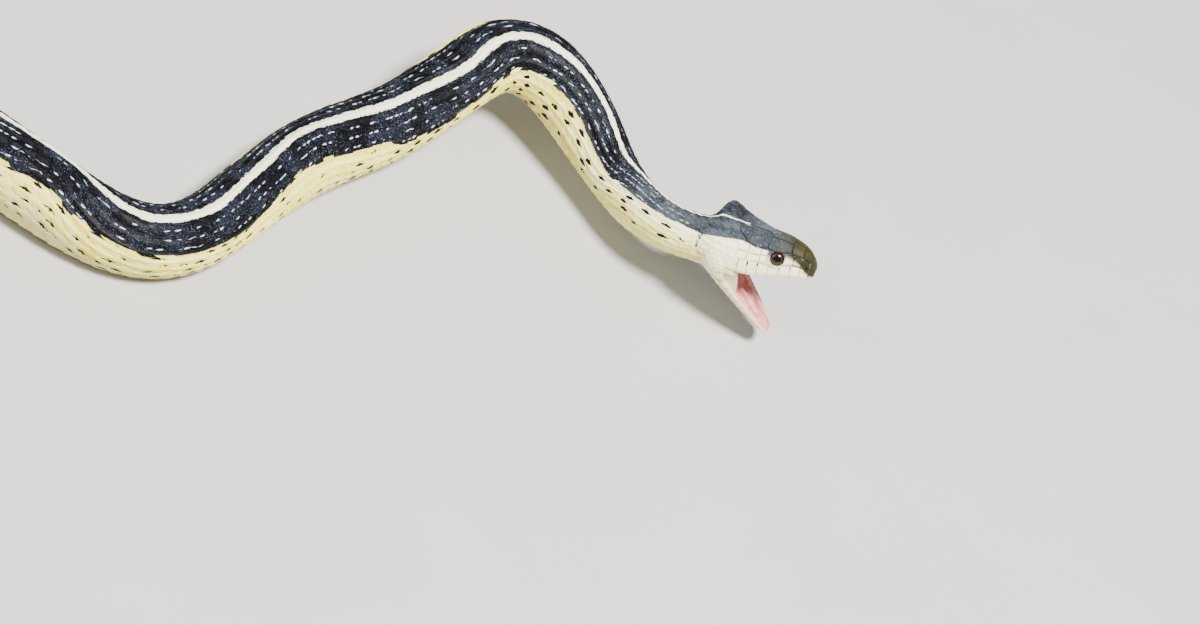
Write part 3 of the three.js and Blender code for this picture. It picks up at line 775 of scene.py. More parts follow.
def plate_shape(u, v):
    """A broad plate with a lip at its back edge, as a function for model_leaf."""
    along, across = stop_at(u, PLATE_ALONG), v * 2 - 1
    side = np.abs(across)
    height = -0.85 + 0.8 * along - 0.5 * side**8 - 0.12 * (along > 0.98)
    return along - 0.22 * side**3 * along, across, height


def lay_plates(name, leaf, rings, middle, half_angle):
    """A row of plates, one to a ring, about some angle round the body."""
    corners = leaf[0]
    pitch = smooth_value(RING_PITCH, rings)
    places = rings[:, None] + corners[None, :, 0] * pitch[:, None] * PLATE_OVERLAP
    places = np.minimum(places, TAIL_TIP)
    angles = middle + corners[None, :, 1] * half_angle + np.zeros_like(places)
    lifts = corners[None, :, 2] * COAT_DEPTH * PLATE_LIFT + np.zeros_like(places)
    side = np.abs(corners[None, :, 1])
    chance = rng.random((len(rings), 1))
    spot = smooth_step(0.78, 0.92, side) * (1 - smooth_step(0.3, 0.6, corners[None, :, 0]))
    marks = plain_marks(
        belly=(0.55 + 0.45 * side) * smooth_step(40, 110, places),
        head=body_markings(places, 180.0)["head"],
        fleck=spot * rng.uniform(0, 0.8, (len(rings), 1)) * (middle == 180),
        tone=chance,
    )
    return joined_copies(name, leaf, body_point(places, angles, lifts), bake_spot(rings, middle), marks)


broad_plate, half_plate = [
    model_leaf(f"{kind}_plate", len(PLATE_ALONG) - 1, cells, plate_shape)
    for kind, cells in PLATE_CELLS.items()
]
trunk_rings = all_rings[(all_rings > NAPE_END) & (all_rings < VENT_AT - 1)]
tail_rings = all_rings[all_rings >= VENT_AT - 1]
quarter = SCUTE_HALF_ANGLE / 2
belly = [
    lay_plates("belly_plates", broad_plate, trunk_rings, 180, SCUTE_HALF_ANGLE),
    lay_plates("tail_plates_right", half_plate, tail_rings, 180 - quarter, quarter),
    lay_plates("tail_plates_left", half_plate, tail_rings, 180 + quarter, quarter),
]

# %% [markdown]
# ## The head's forms
# The head is built on its own axes, x forward, y to its left and z up, in the same way as the
# frame's solids: widths and heights are read from short lists by the distance from the snout.
# The upper head is a rounded box whose lips sag a little towards the corners of the mouth, and
# its left back corner stands out where the stretched jaw pushes it. The lower jaw is a shallow
# trough that swings down on a hinge line, and stretched skin joins the two at the cheeks.

# %% Sizes of the head
LIP_HEIGHT = 5.2
HEAD_HALF_WIDTH = [
    (0, 1.7), (0.6, 2.7), (1.5, 3.3), (3, 3.9), (6, 4.8), (10, 5.9), (14, 6.9), (18, 7.4), (22, 7.5),
    (25, 6.9), (27, 6.08),
]
HEAD_TOP = [(0, 1.9), (1, 3.8), (3, 5.8), (6, 7.1), (8.5, 7.6), (13, 7.7), (18, 7.8), (22, 7.4), (27, 6.2)]
LIP_SAG = [(0, 0), (4, 0.1), (11, 1), (16, 1.6), (19, 1.3), (24, 0.3), (27, 0)]
LEFT_FLARE = [
    (0, 0), (12, 0), (15, 0.7), (18, 1.6), (21, 2.9), (23.5, 4.6), (25, 4.8), (26.1, 2.6), (27, 0.3),
]
CANTHUS_DRAW_IN = 0.16
SIDE_SQUARENESS = 0.78
PALATE = [(-0.86, 0.1), (-0.7, 0.9), (-0.36, 1.5), (0, 1.7), (0.36, 1.5), (0.7, 0.9), (0.86, 0.1)]
HINGE = {"distance": 25.5, "height": -1.6}
HINGE_X, HINGE_Z = HEAD_LENGTH - HINGE["distance"], LIP_HEIGHT + HINGE["height"]
JAW_HALF_WIDTH = [(0.8, 1.8), (2, 2.9), (5, 3.9), (10, 5.1), (15, 6.2), (20, 6.9), (25, 6.9)]
JAW_DEPTH = [(0.8, 0.9), (2, 1.5), (5, 2.2), (10, 2.8), (15, 3.3), (20, 3.9), (25, 4.5)]
JAW_FLOOR = [(-0.88, 0), (-0.74, -0.7), (-0.4, -1.1), (0, -1.2), (0.4, -1.1), (0.74, -0.7), (0.88, 0)]
widest = max(half for _, half in HEAD_HALF_WIDTH)
print("the upper head is", HEAD_LENGTH, "mm long and", 2 * widest, "mm wide, and gapes", GAPE, "degrees")

# %% The head's surfaces
def rounded(turn):
    """A rounded box's outline at an angle: how far out and how far up it is."""
    out = np.sign(np.cos(turn)) * np.abs(np.cos(turn))**SIDE_SQUARENESS
    return out, np.abs(np.sin(turn))**SIDE_SQUARENESS


def crown_point(distance, angle, lift=0.0):
    """The upper head's outside: 0 degrees is the right lip, 90 the crown, 180 the left lip."""
    width = smooth_value(HEAD_HALF_WIDTH, distance) + lift
    top = smooth_value(HEAD_TOP, distance) + lift
    spread, rise = rounded(np.radians(angle))
    left = np.maximum(angle / 90 - 1, 0)
    flare = smooth_value(LEFT_FLARE, distance)
    y = -width * spread * (1 - CANTHUS_DRAW_IN * rise**2) + flare * np.sin(left * np.pi * 0.75)
    sag = smooth_value(LIP_SAG, distance) * (1 - rise)
    z = LIP_HEIGHT - sag + top * rise + 0.4 * flare * np.sin(left * np.pi)
    return np.stack([HEAD_LENGTH - distance + 0 * z, y, z], -1)


def palate_point(distance, side, drop=0.0):
    """Under the upper head: the vaulted palate in front and the round throat behind."""
    width = smooth_value(HEAD_HALF_WIDTH, distance)
    throat = smooth_step(16, 25, distance)
    ease = smooth_step(0, 4, distance)
    vault = smooth_value(PALATE, side) * ease * np.minimum(1, width / 5)
    palate = LIP_HEIGHT - smooth_value(LIP_SAG, distance) + vault - drop
    round_throat = np.maximum(LIP_HEIGHT * (1 - np.sqrt(1 - side**2) * 1.02), 0)
    height = palate * (1 - throat) + round_throat * throat
    return np.stack([HEAD_LENGTH - distance, -width * side, height], -1)


def swing(points):
    """Swings points of the closed lower jaw open on its hinge."""
    turn = math.radians(GAPE)
    x, z = points[..., 0] - HINGE_X, points[..., 2] - HINGE_Z
    return np.stack([
        HINGE_X + x * math.cos(turn) + z * math.sin(turn),
        points[..., 1],
        HINGE_Z - x * math.sin(turn) + z * math.cos(turn),
    ], -1)


def jaw_point(distance, angle, lift=0.0):
    """The lower jaw's outside: 0 degrees is its left lip, 90 the chin's middle, 180 its right lip."""
    width = smooth_value(JAW_HALF_WIDTH, distance) + lift
    depth = smooth_value(JAW_DEPTH, distance) + lift
    spread, sink = rounded(np.radians(angle))
    x = HEAD_LENGTH - distance + 0 * spread
    return swing(np.stack([x, width * spread, LIP_HEIGHT - depth * sink], -1))


def jaw_floor_point(distance, side, lift=0.0):
    width = smooth_value(JAW_HALF_WIDTH, distance)
    sink = smooth_value(JAW_FLOOR, side) * smooth_step(0.8, 5, distance)
    return swing(np.stack([HEAD_LENGTH - distance, width * side, LIP_HEIGHT + sink + lift], -1))


# %% [markdown]
# ## One skin
# The real animal has one skin from the lips to the tail's tip, so one mesh stands for all the
# flesh. The body is a rolled grid. The head is several closed forms that run into each other,
# and a voxel remesh melts them into one surface, as clay pushed together. The two are then
# joined by a boolean where scales will hide the line.

# %% The head's clay
CROWN_SHARE = 0.62
NOSE_TO_NAPE = 27.6
FLESH_SINK = 0.12


def upper_head_shape(u, v):
    distance = NOSE_TO_NAPE * u**1.25
    angle = np.clip(v / CROWN_SHARE, 0, 1) * 180
    side = np.clip((v - CROWN_SHARE) / (1 - CROWN_SHARE), 0, 1) * 1.72 - 0.86
    over = crown_point(distance, angle, -FLESH_SINK)
    under = palate_point(distance, side)
    return np.where((v <= CROWN_SHARE)[:, None], over, under)


def jaw_shape(u, v):
    distance = 0.8 + 23.7 * u**1.15
    angle = np.clip(v / CROWN_SHARE, 0, 1) * 180
    side = 0.88 - np.clip((v - CROWN_SHARE) / (1 - CROWN_SHARE), 0, 1) * 1.76
    over = jaw_point(distance, angle, -FLESH_SINK)
    under = jaw_floor_point(distance, -side)
    return np.where((v <= CROWN_SHARE)[:, None], over, under)


# %% The cheeks' clay
CHEEK_REACH_ABOVE = 7.9
CHEEK_REACH_BELOW = 12.1
CHEEK_HOLLOW = 0.8
CHEEK_SINK = 0.35
GULLET_REACH = 4.4


def cheek_half_width(reach, share):
    distance = HINGE["distance"] - reach
    upper, lower = smooth_value(HEAD_HALF_WIDTH, distance), smooth_value(JAW_HALF_WIDTH, distance)
    return upper + (lower - upper) * share


def on_cheek_plane(reach, y, turn):
    return np.stack([HINGE_X + reach * np.cos(turn), y, HINGE_Z - reach * np.sin(turn)], -1)


def cheek_shape(u, v):
    """The stretched cheeks and the back wall of the mouth, as a fan of outlines about the hinge."""
    degrees = -14 + 64 * u
    share = np.clip(degrees / GAPE, 0, 1)
    stretch = np.sin(np.pi * share)
    edge = CHEEK_REACH_ABOVE + (CHEEK_REACH_BELOW - CHEEK_REACH_ABOVE) * share - CHEEK_HOLLOW * stretch
    outside = (degrees >= 0) & (degrees <= GAPE)
    buried = np.where(outside, CHEEK_SINK * (1 + stretch), 0.9)
    stops = [0, 0.1, 0.22, 0.36, 0.4, 0.47, 0.5, 0.53, 0.6, 0.64, 0.78, 0.9, 1]
    reaches = np.stack([
        0 * u - 1.2, 0 * u + 2, 0 * u + 5, edge, edge, 0 * u + GULLET_REACH + 1.2, 0 * u + GULLET_REACH,
    ], 1)
    reaches = np.concatenate([reaches, reaches[:, -2::-1]], 1)
    sides = np.array([1, 1, 1, 1, 0.86, 0.6, 0, -0.6, -0.86, -1, -1, -1, -1])
    column = np.clip(np.searchsorted(stops, v, side="right") - 1, 0, len(stops) - 2)
    stops = np.array(stops)
    t = (v - stops[column]) / (stops[column + 1] - stops[column])
    index = np.arange(len(u))
    reach = reaches[index, column] * (1 - t) + reaches[index, column + 1] * t
    side = sides[column] * (1 - t) + sides[column + 1] * t
    return on_cheek_plane(reach, side * (cheek_half_width(reach, share) - buried), np.radians(degrees))


# %% Pushing the clay together
def add_ball(name, centre, radii):
    """A ball stretched to three radii and set on the head's axes."""
    bpy.ops.mesh.primitive_uv_sphere_add(segments=40, ring_count=24, radius=1)
    ball = bpy.context.object
    ball.name = name
    write_points(ball, head_to_world(read_points(ball) * radii + centre) * MM)
    return ball


def head_grid(name, along, around, shape):
    return mapped_grid(name, along, around, lambda u, v: head_to_world(shape(u, v)))


def neck_stub_shape(u, v):
    place = 27.2 + 6.6 * u
    sunk = -COAT_DEPTH - 0.8 * smooth_step(29.5, 33.5, place)
    return body_point(place, v * 360 - 180, sunk)


JAW_BULGES = [((23, -4.6, -0.6), (4, 3.1, 4.4)), ((22.6, 6.6, 0.4), (4.2, 3.7, 4.8))]
THROAT_BULGE = ((24.6, 0, -2.2), (4.4, 5.4, 3.6))
CLAY_VOXEL = 0.26

clay = [
    head_grid("upper_head", 90, 90, upper_head_shape),
    head_grid("jaw", 80, 70, jaw_shape),
    head_grid("cheeks", 40, 96, cheek_shape),
    mapped_grid("neck_stub", 24, 64, neck_stub_shape),
]
for (distance, side, height), radii in [*JAW_BULGES, THROAT_BULGE]:
    clay.append(add_ball("bulge", (HEAD_LENGTH - distance, side, LIP_HEIGHT + height), radii))
skin = join_pieces("skin", clay)
apply_modifier(skin, "REMESH", mode="VOXEL", voxel_size=CLAY_VOXEL * MM)
apply_modifier(skin, "SMOOTH", factor=0.5, iterations=4)
print("head's clay:", count_triangles(skin), "triangles")

# %% [markdown]
# The eyes sit in shallow sockets and the nostrils are two small pits. Both are cut with booleans,
# because a cut keeps a clean rim that pushing the surface in would not.

# %% Sockets, nostrils and the body's tube
EYE_RADII = np.array([2, 1.35, 1.85])
EYE_PLACE = {"distance": 9.4, "side": 3.95, "height": 3.55}
EYE_TILT = {"up": 22, "forward": 10}
SOCKET_GAP = 0.16
NOSTRIL = {"distance": 2.1, "side": 3.3, "height": 2.5, "radius": 0.45}


def eye_turn(side):
    up = Matrix.Rotation(math.radians(side * EYE_TILT["up"]), 3, "X")
    forward = Matrix.Rotation(math.radians(-side * EYE_TILT["forward"]), 3, "Z")
    return np.array(forward @ up)


def eye_middle(side):
    return np.array([
        HEAD_LENGTH - EYE_PLACE["distance"], side * EYE_PLACE["side"], LIP_HEIGHT + EYE_PLACE["height"]
    ])


TUBE_START, TUBE_END = 28.2, TOTAL_LENGTH - 0.4


def body_tube_shape(u, v):
    place = TUBE_START + (TUBE_END - TUBE_START) * u
    sunk = -COAT_DEPTH - 0.7 * (1 - smooth_step(28.4, 31.5, place))
    return body_point(place, v * 360 - 180, sunk)


cutters = []
for side in (-1, 1):
    socket = add_ball("socket", (0, 0, 0), (1, 1, 1))
    local = head_local(read_points(socket) / MM) * (EYE_RADII + SOCKET_GAP)
    write_points(socket, head_to_world(local @ eye_turn(side).T + eye_middle(side)) * MM)
    cutters.append(socket)
    size = NOSTRIL["radius"]
    nostril = (HEAD_LENGTH - NOSTRIL["distance"], side * NOSTRIL["side"], LIP_HEIGHT + NOSTRIL["height"])
    cutters.append(add_ball("nostril", nostril, (size, size * 1.6, size)))
cutter = join_pieces("cutter", cutters)
apply_modifier(skin, "BOOLEAN", operation="DIFFERENCE", object=cutter, solver="EXACT")
bpy.data.objects.remove(cutter)
tube = mapped_grid("tube", 520, 48, body_tube_shape)
apply_modifier(skin, "BOOLEAN", operation="UNION", object=tube, solver="EXACT")
bpy.data.objects.remove(tube)
print("skin:", count_triangles(skin), "triangles")

# %% [markdown]
# The skin shows between the scales and wears the same markings. Each of its corners finds its
# nearest place on the body's line, and from there its angle round the body.

# %% The skin's markings
def find_place(points):
    """The place along the body and the angle from the back's middle, for points in mm."""
    places = np.empty(len(points))
    coarse = line_places[::12]
    centres = body_centres(coarse)
    for first in range(0, len(points), 4000):
        part = points[first:first + 4000]
        gaps = ((part[:, None] - centres[None])**2).sum(2)
        places[first:first + 4000] = coarse[gaps.argmin(1)]
    for _ in range(2):
        _, along, _, _ = body_axes(places)
        places = places + ((points - body_centres(places)) * along).sum(1)
    places = np.clip(places, 0, TOTAL_LENGTH)
    _, _, across, up = body_axes(places)
    out = points - body_centres(places)
    angles = np.degrees(np.arctan2((out * across).sum(1), (out * up).sum(1))) - smooth_value(ROLL, places)
    return places, (angles + 180) % 360 - 180


def body_centres(places):
    start, _, _, up = body_axes(places)
    return start + up * (BELLY_DROP * smooth_value(GIRTH, places))[..., None]


# %% The head's markings
HEAD_EDGE = [
    (0, 86), (1.5, 80), (3, 68), (4.5, 60), (6, 55), (7.4, 52), (10, 51), (12, 49), (14, 45), (19, 41),
    (27, 46),
]


def head_markings(distance, angle):
    """Markings of the upper head: slate above, olive on the snout, pale lips and cheeks."""
    side = np.abs(angle)
    left_dip = 16 * smooth_step(14, 21, distance) + 17 * smooth_step(21, 28, distance)
    edge = smooth_value(HEAD_EDGE, distance) + np.where(angle < 0, left_dip, 0)
    half = smooth_value(STRIPE_HALF, distance)
    off_stripe = np.abs(angle - smooth_value(ROLL, distance))
    stripe = (1 - smooth_step(half - 1, half + 1.2, off_stripe)) * smooth_step(17, 18.5, distance)
    snout = 1 - smooth_step(5, 13, distance)
    dark = (1 - smooth_step(edge - 4 - 6 * snout, edge + 5 + 10 * snout, side)) * (1 - stripe)
    return {"dark": dark, "stripe": stripe, "belly": 0 * side, "snout": snout}


# %% Where the mouth is
def near_samples(points, samples):
    """How far each point is from the nearest of some samples, in mm."""
    gaps = np.empty(len(points))
    for first in range(0, len(points), 2000):
        part = points[first:first + 2000]
        gaps[first:first + 2000] = np.sqrt(((part[:, None] - samples[None])**2).sum(2).min(1))
    return gaps


def sample_surface(shape, low_u, high_u, low_v, high_v, count=26):
    u, v = np.meshgrid(np.linspace(low_u, high_u, count), np.linspace(low_v, high_v, count))
    return shape(u.ravel(), v.ravel())


def gullet_wall(side, degrees):
    y = side * (cheek_half_width(GULLET_REACH, degrees / GAPE) - 1.2)
    return on_cheek_plane(GULLET_REACH + 0 * side, y, np.radians(degrees))


def cheek_wall(side, depth):
    """One cheek's stretched skin, seen as a surface at some depth below its outside."""
    def wall(reach, degrees):
        half = cheek_half_width(reach, degrees / GAPE) - depth
        return on_cheek_plane(reach, side * half, np.radians(degrees))
    return wall


mouth_inside = np.concatenate([
    sample_surface(palate_point, 0.2, 21, -0.84, 0.84),
    sample_surface(jaw_floor_point, 1.2, 22, -0.86, 0.86),
    sample_surface(gullet_wall, -1, 1, -10, 50),
    *[sample_surface(cheek_wall(side, 1.5), GULLET_REACH, 12, -6, GAPE) for side in (-1, 1)],
])
cheek_sides = [sample_surface(cheek_wall(side, 0), 1.5, 12, -6, GAPE) for side in (-1, 1)]
mouth_outside = np.concatenate([
    *cheek_sides,
    sample_surface(crown_point, 0, 27, 0, 180, 34),
    sample_surface(jaw_point, 0.8, 24, 0, 180, 34),
])
print("samples inside the mouth:", len(mouth_inside), "and outside:", len(mouth_outside))

# %% Marking the skin
skin_points = read_points(skin) / MM
skin_places, skin_angles = find_place(skin_points)
skin_marks = body_markings(skin_places, skin_angles)
local = head_local(skin_points)
distance = HEAD_LENGTH - local[:, 0]
head_angle = np.degrees(np.arctan2(-local[:, 1], np.maximum(local[:, 2] - LIP_HEIGHT, 0.01)))
below_lip = smooth_step(0.4, -0.6, local[:, 2] - LIP_HEIGHT + smooth_value(LIP_SAG, distance))
on_head = (1 - smooth_step(HEAD_LENGTH - 4, HEAD_LENGTH + 3, distance)) * (skin_places < 40)
for key, value in head_markings(distance, head_angle).items():
    own = value * (1 - below_lip)
    skin_marks[key] = skin_marks.get(key, 0) * (1 - on_head) + own * on_head
close = (skin_places < 34) & (distance < 30)
mouth = np.zeros(len(skin_points))
mouth[close] = smooth_step(
    -0.35, 0.35, near_samples(local[close], mouth_outside) - near_samples(local[close], mouth_inside)
) * (1 - smooth_step(23.4, 24.4, distance[close])) * smooth_step(0.4, 1.4, distance[close])
skin_marks["head"] = np.maximum(skin_marks["head"], on_head)
set_marks(skin, {**skin_marks, "mouth": mouth})
print("skin points in the mouth:", int((mouth > 0.5).sum()))

# %% [markdown]
# ## Shields of the head
# The crown of a snake's head wears large plates that are the same in every garter snake: from the
# snout backwards the rostral, internasals, prefrontals, the frontal between two supraoculars, and
# the two parietals. Along each upper lip lie seven labials. Each plate is drawn as a flat outline,
# its corners are bevelled and its rim inset, and it is scored into strips so that it can bend. The
# whole sheet is then laid over the head by the same functions that shaped it.

# %% Outlines of the plates
DEGREE_WIDTH = 0.11
CROWN_SHIELDS = [
    [
        (0.04, -85), (0.04, 0), (0.04, 85), (1.1, 86), (1.1, 60), (1.15, 22), (1.3, 0), (1.15, -22),
        (1.1, -60), (1.1, -86),
    ],
    [(6.55, -13), (6.5, 0), (6.55, 13), (9, 12), (11.5, 10), (12.35, 0), (11.5, -10), (9, -12)],
]
SIDE_SHIELDS = [
    [(1.4, 1.5), (1.25, 23), (1.55, 40), (2.95, 38.5), (3.3, 20), (3.3, 1.5)],
    [(3.45, 1.5), (3.45, 20), (3.1, 39.5), (4.4, 44), (6.1, 43), (6.4, 15), (6.35, 1.5)],
    [(6.3, 43), (6.7, 16), (9, 14.5), (11.5, 12.5), (12.05, 24), (11.9, 43), (10.6, 47), (7.9, 47)],
    [
        (12.55, 1.5), (11.75, 12.5), (12.25, 25), (12.2, 43), (14.5, 45), (17.2, 37), (19.6, 19), (20, 6),
        (18.8, 1.5),
    ],
    [(1.25, 62), (1.65, 42.5), (3.05, 41.5), (3.3, 52), (3.3, 67), (1.5, 72)],
    [(3.5, 45.5), (5.2, 46), (5.3, 66), (3.5, 67)],
    [(5.4, 46), (6.2, 45), (7.4, 52), (7.4, 71), (5.5, 67.5)],
    [(11.5, 50), (12.3, 45.5), (13.2, 46), (13.2, 57), (12, 58)],
    [(12, 60.5), (13.2, 59.5), (13.2, 70), (11.6, 72)],
    [(13.45, 46.5), (14.6, 47.5), (16.1, 43.5), (16.2, 57), (13.45, 58.5)],
    [(13.45, 61), (16.2, 59.5), (16.3, 71), (13.45, 69.5)],
    [(16.4, 42.5), (17.3, 40), (18.5, 32), (19.2, 47), (18.9, 57), (16.5, 57)],
    [(16.5, 59.5), (18.9, 59.5), (19.3, 72), (16.6, 73)],
]
LIP_EDGES = [1.3, 3.4, 5.7, 8.2, 10.8, 13.3, 15.7, 18]
LIP_TOPS = [74, 70, 71, 77.5, 77.5, 72, 71, 74]
EYE_DIP = 2.8
LIP_BOTTOM = 89
JAW_LIP_EDGES = [1.4, 3.5, 5.8, 8.1, 10.4, 12.6, 14.8, 17, 19.2]
JAW_LIP_TOP = 88.5
JAW_LIP_BOTTOM = 64
CHIN_SHIELDS = [
    [(0.85, -48), (0.85, 48), (1.25, 50), (2.3, 14), (2.3, -14), (1.25, -50)],
]
SIDE_CHIN_SHIELDS = [
    [(2.6, 3), (2.6, 26), (4.5, 36), (7, 30), (7.2, 3)],
    [(7.5, 3), (7.4, 28), (10, 32), (13, 22), (13.4, 6)],
]
SHIELD_GAP = 0.07
SHIELD_GROWTH = 1.035
SHIELD_CORNER = 0.14
SHIELD_INSETS = (0.09, 0.12)
SHIELD_RISE = 0.2
SHIELD_ROOT = -0.34
SHIELD_SCORE = 0.4
SHIELD_CREASE = 40
LONGEST_SHIELD = 9
NOSTRIL_ANGLE = 63
print("plates drawn on one side of the crown:", len(SIDE_SHIELDS), "and lip plates:", len(LIP_TOPS) - 1)


def lip_row(edges, tops, bottom):
    """One plate between each two edges along a lip."""
    row = []
    for a, b, top_a, top_b in zip(edges[:-1], edges[1:], tops[:-1], tops[1:]):
        a, b = a + SHIELD_GAP, b - SHIELD_GAP
        dip = EYE_DIP * (a < EYE_PLACE["distance"] < b) * (bottom > top_a)
        peak = ((a + b) / 2, (top_a + top_b) / 2 + dip)
        row.append([(a, bottom), (a, top_a), peak, (b, top_b), (b, bottom)])
    return row


def mirrored(outlines):
    return outlines + [[(distance, -angle) for distance, angle in outline] for outline in outlines]


# %% One sheet of plates
def flat_plate(number, outline):
    """One plate as a flat polygon, along the head and round it, in mm."""
    bpy.ops.mesh.primitive_circle_add(vertices=len(outline), radius=1, fill_type="NGON")
    plate = bpy.context.object
    corners = np.array([(distance, angle * DEGREE_WIDTH, 0) for distance, angle in outline])
    middle = corners.mean(axis=0)
    write_points(plate, middle + (corners - middle) * SHIELD_GROWTH)
    set_marks(plate, {"number": float(number)})
    return plate


def bevel_and_score():
    """Bevels the plates' corners, insets their rims, and cuts them into strips that can bend."""
    bpy.ops.object.mode_set(mode="EDIT")
    bpy.ops.mesh.select_all(action="SELECT")
    bpy.ops.mesh.normals_make_consistent(inside=False)
    bpy.ops.mesh.bevel(offset=SHIELD_CORNER, segments=2, affect="VERTICES")
    bpy.ops.mesh.select_all(action="SELECT")
    for thickness in SHIELD_INSETS:
        bpy.ops.mesh.inset(thickness=thickness, depth=0, use_individual=True)
    for axis, low, high in ((0, 0, 24), (1, -11, 11)):
        for at in np.arange(low, high, SHIELD_SCORE):
            bpy.ops.mesh.select_all(action="SELECT")
            spot, facing = [0, 0, 0], [0, 0, 0]
            spot[axis], facing[axis] = at + 0.013, 1
            bpy.ops.mesh.bisect(plane_co=spot, plane_no=facing)
    bpy.ops.object.mode_set(mode="OBJECT")


def shield_sheet(name, outlines, surface, marks_for):
    """All plates of one surface as one piece, each with a raised face and a rim sunk in the skin."""
    sheet = join_pieces(name, [flat_plate(number, outline) for number, outline in enumerate(outlines)])
    bevel_and_score()
    rim = rim_distance(sheet)
    drop_rim(sheet, 1)
    flat_points = read_points(sheet)
    skirt = len(flat_points) - len(rim)
    lift = SHIELD_RISE * (0.35 + 0.65 * smooth_step(0, 0.22, rim)) - 0.02
    lifts = np.concatenate([lift, np.full(skirt, SHIELD_ROOT)])
    distance, angle = flat_points[:, 0], flat_points[:, 1] / DEGREE_WIDTH
    write_points(sheet, head_to_world(surface(distance, angle, lifts)) * MM)
    select_only(sheet)
    close_mesh(merge=False)
    numbers = np.rint(read_mark(sheet, "number")).astype(int)
    marks = marks_for(distance, angle)
    marks["tone"] = rng.uniform(0.2, 0.8, len(outlines))[numbers]
    # The rim mark darkens each plate's edge in the paint: painted shade in the seams between plates.
    marks["rim"] = 1 - smooth_step(0.02, 0.2, np.concatenate([rim, np.zeros(skirt)]))
    set_marks(sheet, marks)
    middles = np.array([np.mean(outline, axis=0) for outline in outlines])
    bake_shields(sheet, middles[numbers], distance, angle)
    bpy.ops.object.shade_smooth_by_angle(angle=math.radians(SHIELD_CREASE))
    sheet.data.materials.append(scale_paint)
    print(name, "plates", len(outlines), "triangles", count_triangles(sheet))
    return sheet


def rim_distance(piece):
    """How far each corner of a flat mesh is from the mesh's own border."""
    mesh = piece.data
    points = read_points(piece)[:, :2]
    counts = {}
    for face in mesh.polygons:
        for key in face.edge_keys:
            counts[key] = counts.get(key, 0) + 1
    border = np.array([key for key, count in counts.items() if count == 1])
    a, b = points[border[:, 0]], points[border[:, 1]]
    run = b - a
    t = ((points[:, None] - a) * run).sum(2) / np.maximum((run**2).sum(1), 1e-9)
    foot = a + np.clip(t, 0, 1)[..., None] * run
    return np.sqrt(((points[:, None] - foot)**2).sum(2)).min(1)


def bake_shields(sheet, middles, distance, angle):
    """A place on the flat map for each corner, about the middle of the plate that it belongs to."""
    reach = np.stack([distance - middles[:, 0], (angle - middles[:, 1]) * DEGREE_WIDTH], 1)
    spots = bake_spot(middles[:, 0], middles[:, 1]) + reach / LONGEST_SHIELD * BAKE_PATCH
    loops = np.empty(len(sheet.data.loops), np.int32)
    sheet.data.loops.foreach_get("vertex_index", loops)
    bake = sheet.data.uv_layers.new(name="OFBake")
    bake.uv.foreach_set("vector", spots[loops].astype(np.float32).ravel())


# %% Laying the shields
def nostril_pit(distance, angle, size):
    across = (np.abs(angle) - NOSTRIL_ANGLE) * DEGREE_WIDTH
    return np.exp(-((distance - NOSTRIL["distance"]) / size)**2 - (across / size)**2)


def over_crown(distance, angle, lift):
    pit = nostril_pit(distance, angle, 0.36) * (lift > -0.2)
    return crown_point(distance, 90 - angle, lift - 0.75 * pit)


def over_jaw(distance, angle, lift):
    return jaw_point(distance, 90 + angle, lift)


def crown_marks(distance, angle):
    marks = head_markings(distance, angle)
    side = np.abs(angle)
    bar = np.zeros_like(distance)
    for edge in LIP_EDGES[1:]:
        bar = np.maximum(bar, 1 - smooth_step(0.1, 0.4, np.abs(distance - edge + 0.05)))
    lip = smooth_step(70, 73, side)
    marks["fleck"] = bar * lip * (1 - smooth_step(76, 83, side)) * 0.5
    # The nostril pits are painted near-black with the same mark as the flecks: painted shade inside the
    # pits.
    marks["fleck"] = np.maximum(marks["fleck"], nostril_pit(distance, angle, 0.3) * 1.2)
    return {**marks, "speck": 0, "head": 1}


crown_outlines = CROWN_SHIELDS + mirrored(SIDE_SHIELDS + lip_row(LIP_EDGES, LIP_TOPS, LIP_BOTTOM))
jaw_lips = lip_row(JAW_LIP_EDGES, [JAW_LIP_TOP] * len(JAW_LIP_EDGES), JAW_LIP_BOTTOM)
jaw_outlines = CHIN_SHIELDS + mirrored(SIDE_CHIN_SHIELDS + jaw_lips)
crown_shields = shield_sheet("head_shields", crown_outlines, over_crown, crown_marks)
jaw_shields = shield_sheet("jaw_shields", jaw_outlines, over_jaw, lambda *_: plain_marks(belly=0.35, head=1))

# %% [markdown]
# ## Scales of the nape, throat and cheeks
# Behind the plates small scales take over. They start from a guide surface, a plain function as
# everywhere else, and are then dropped onto the skin along the shortest way, because the skin has
# bulges and folds there that no simple function knows.

# %% Dropping scales onto the skin
SMALL_SCALE_LIFT = 0.8


def skin_tree():
    points = read_points(skin)
    faces = [tuple(face.vertices) for face in skin.data.polygons]
    return BVHTree.FromPolygons([Vector(p) for p in points], faces)


tree = skin_tree()


def nearest_skin(points):
    """The spots of the skin nearest to points in mm, and which way the skin faces there."""
    spots, facing = np.empty_like(points), np.empty_like(points)
    for i, point in enumerate(points):
        spots[i], facing[i], _, _ = tree.find_nearest(Vector(point) * MM)
    return spots / MM, facing


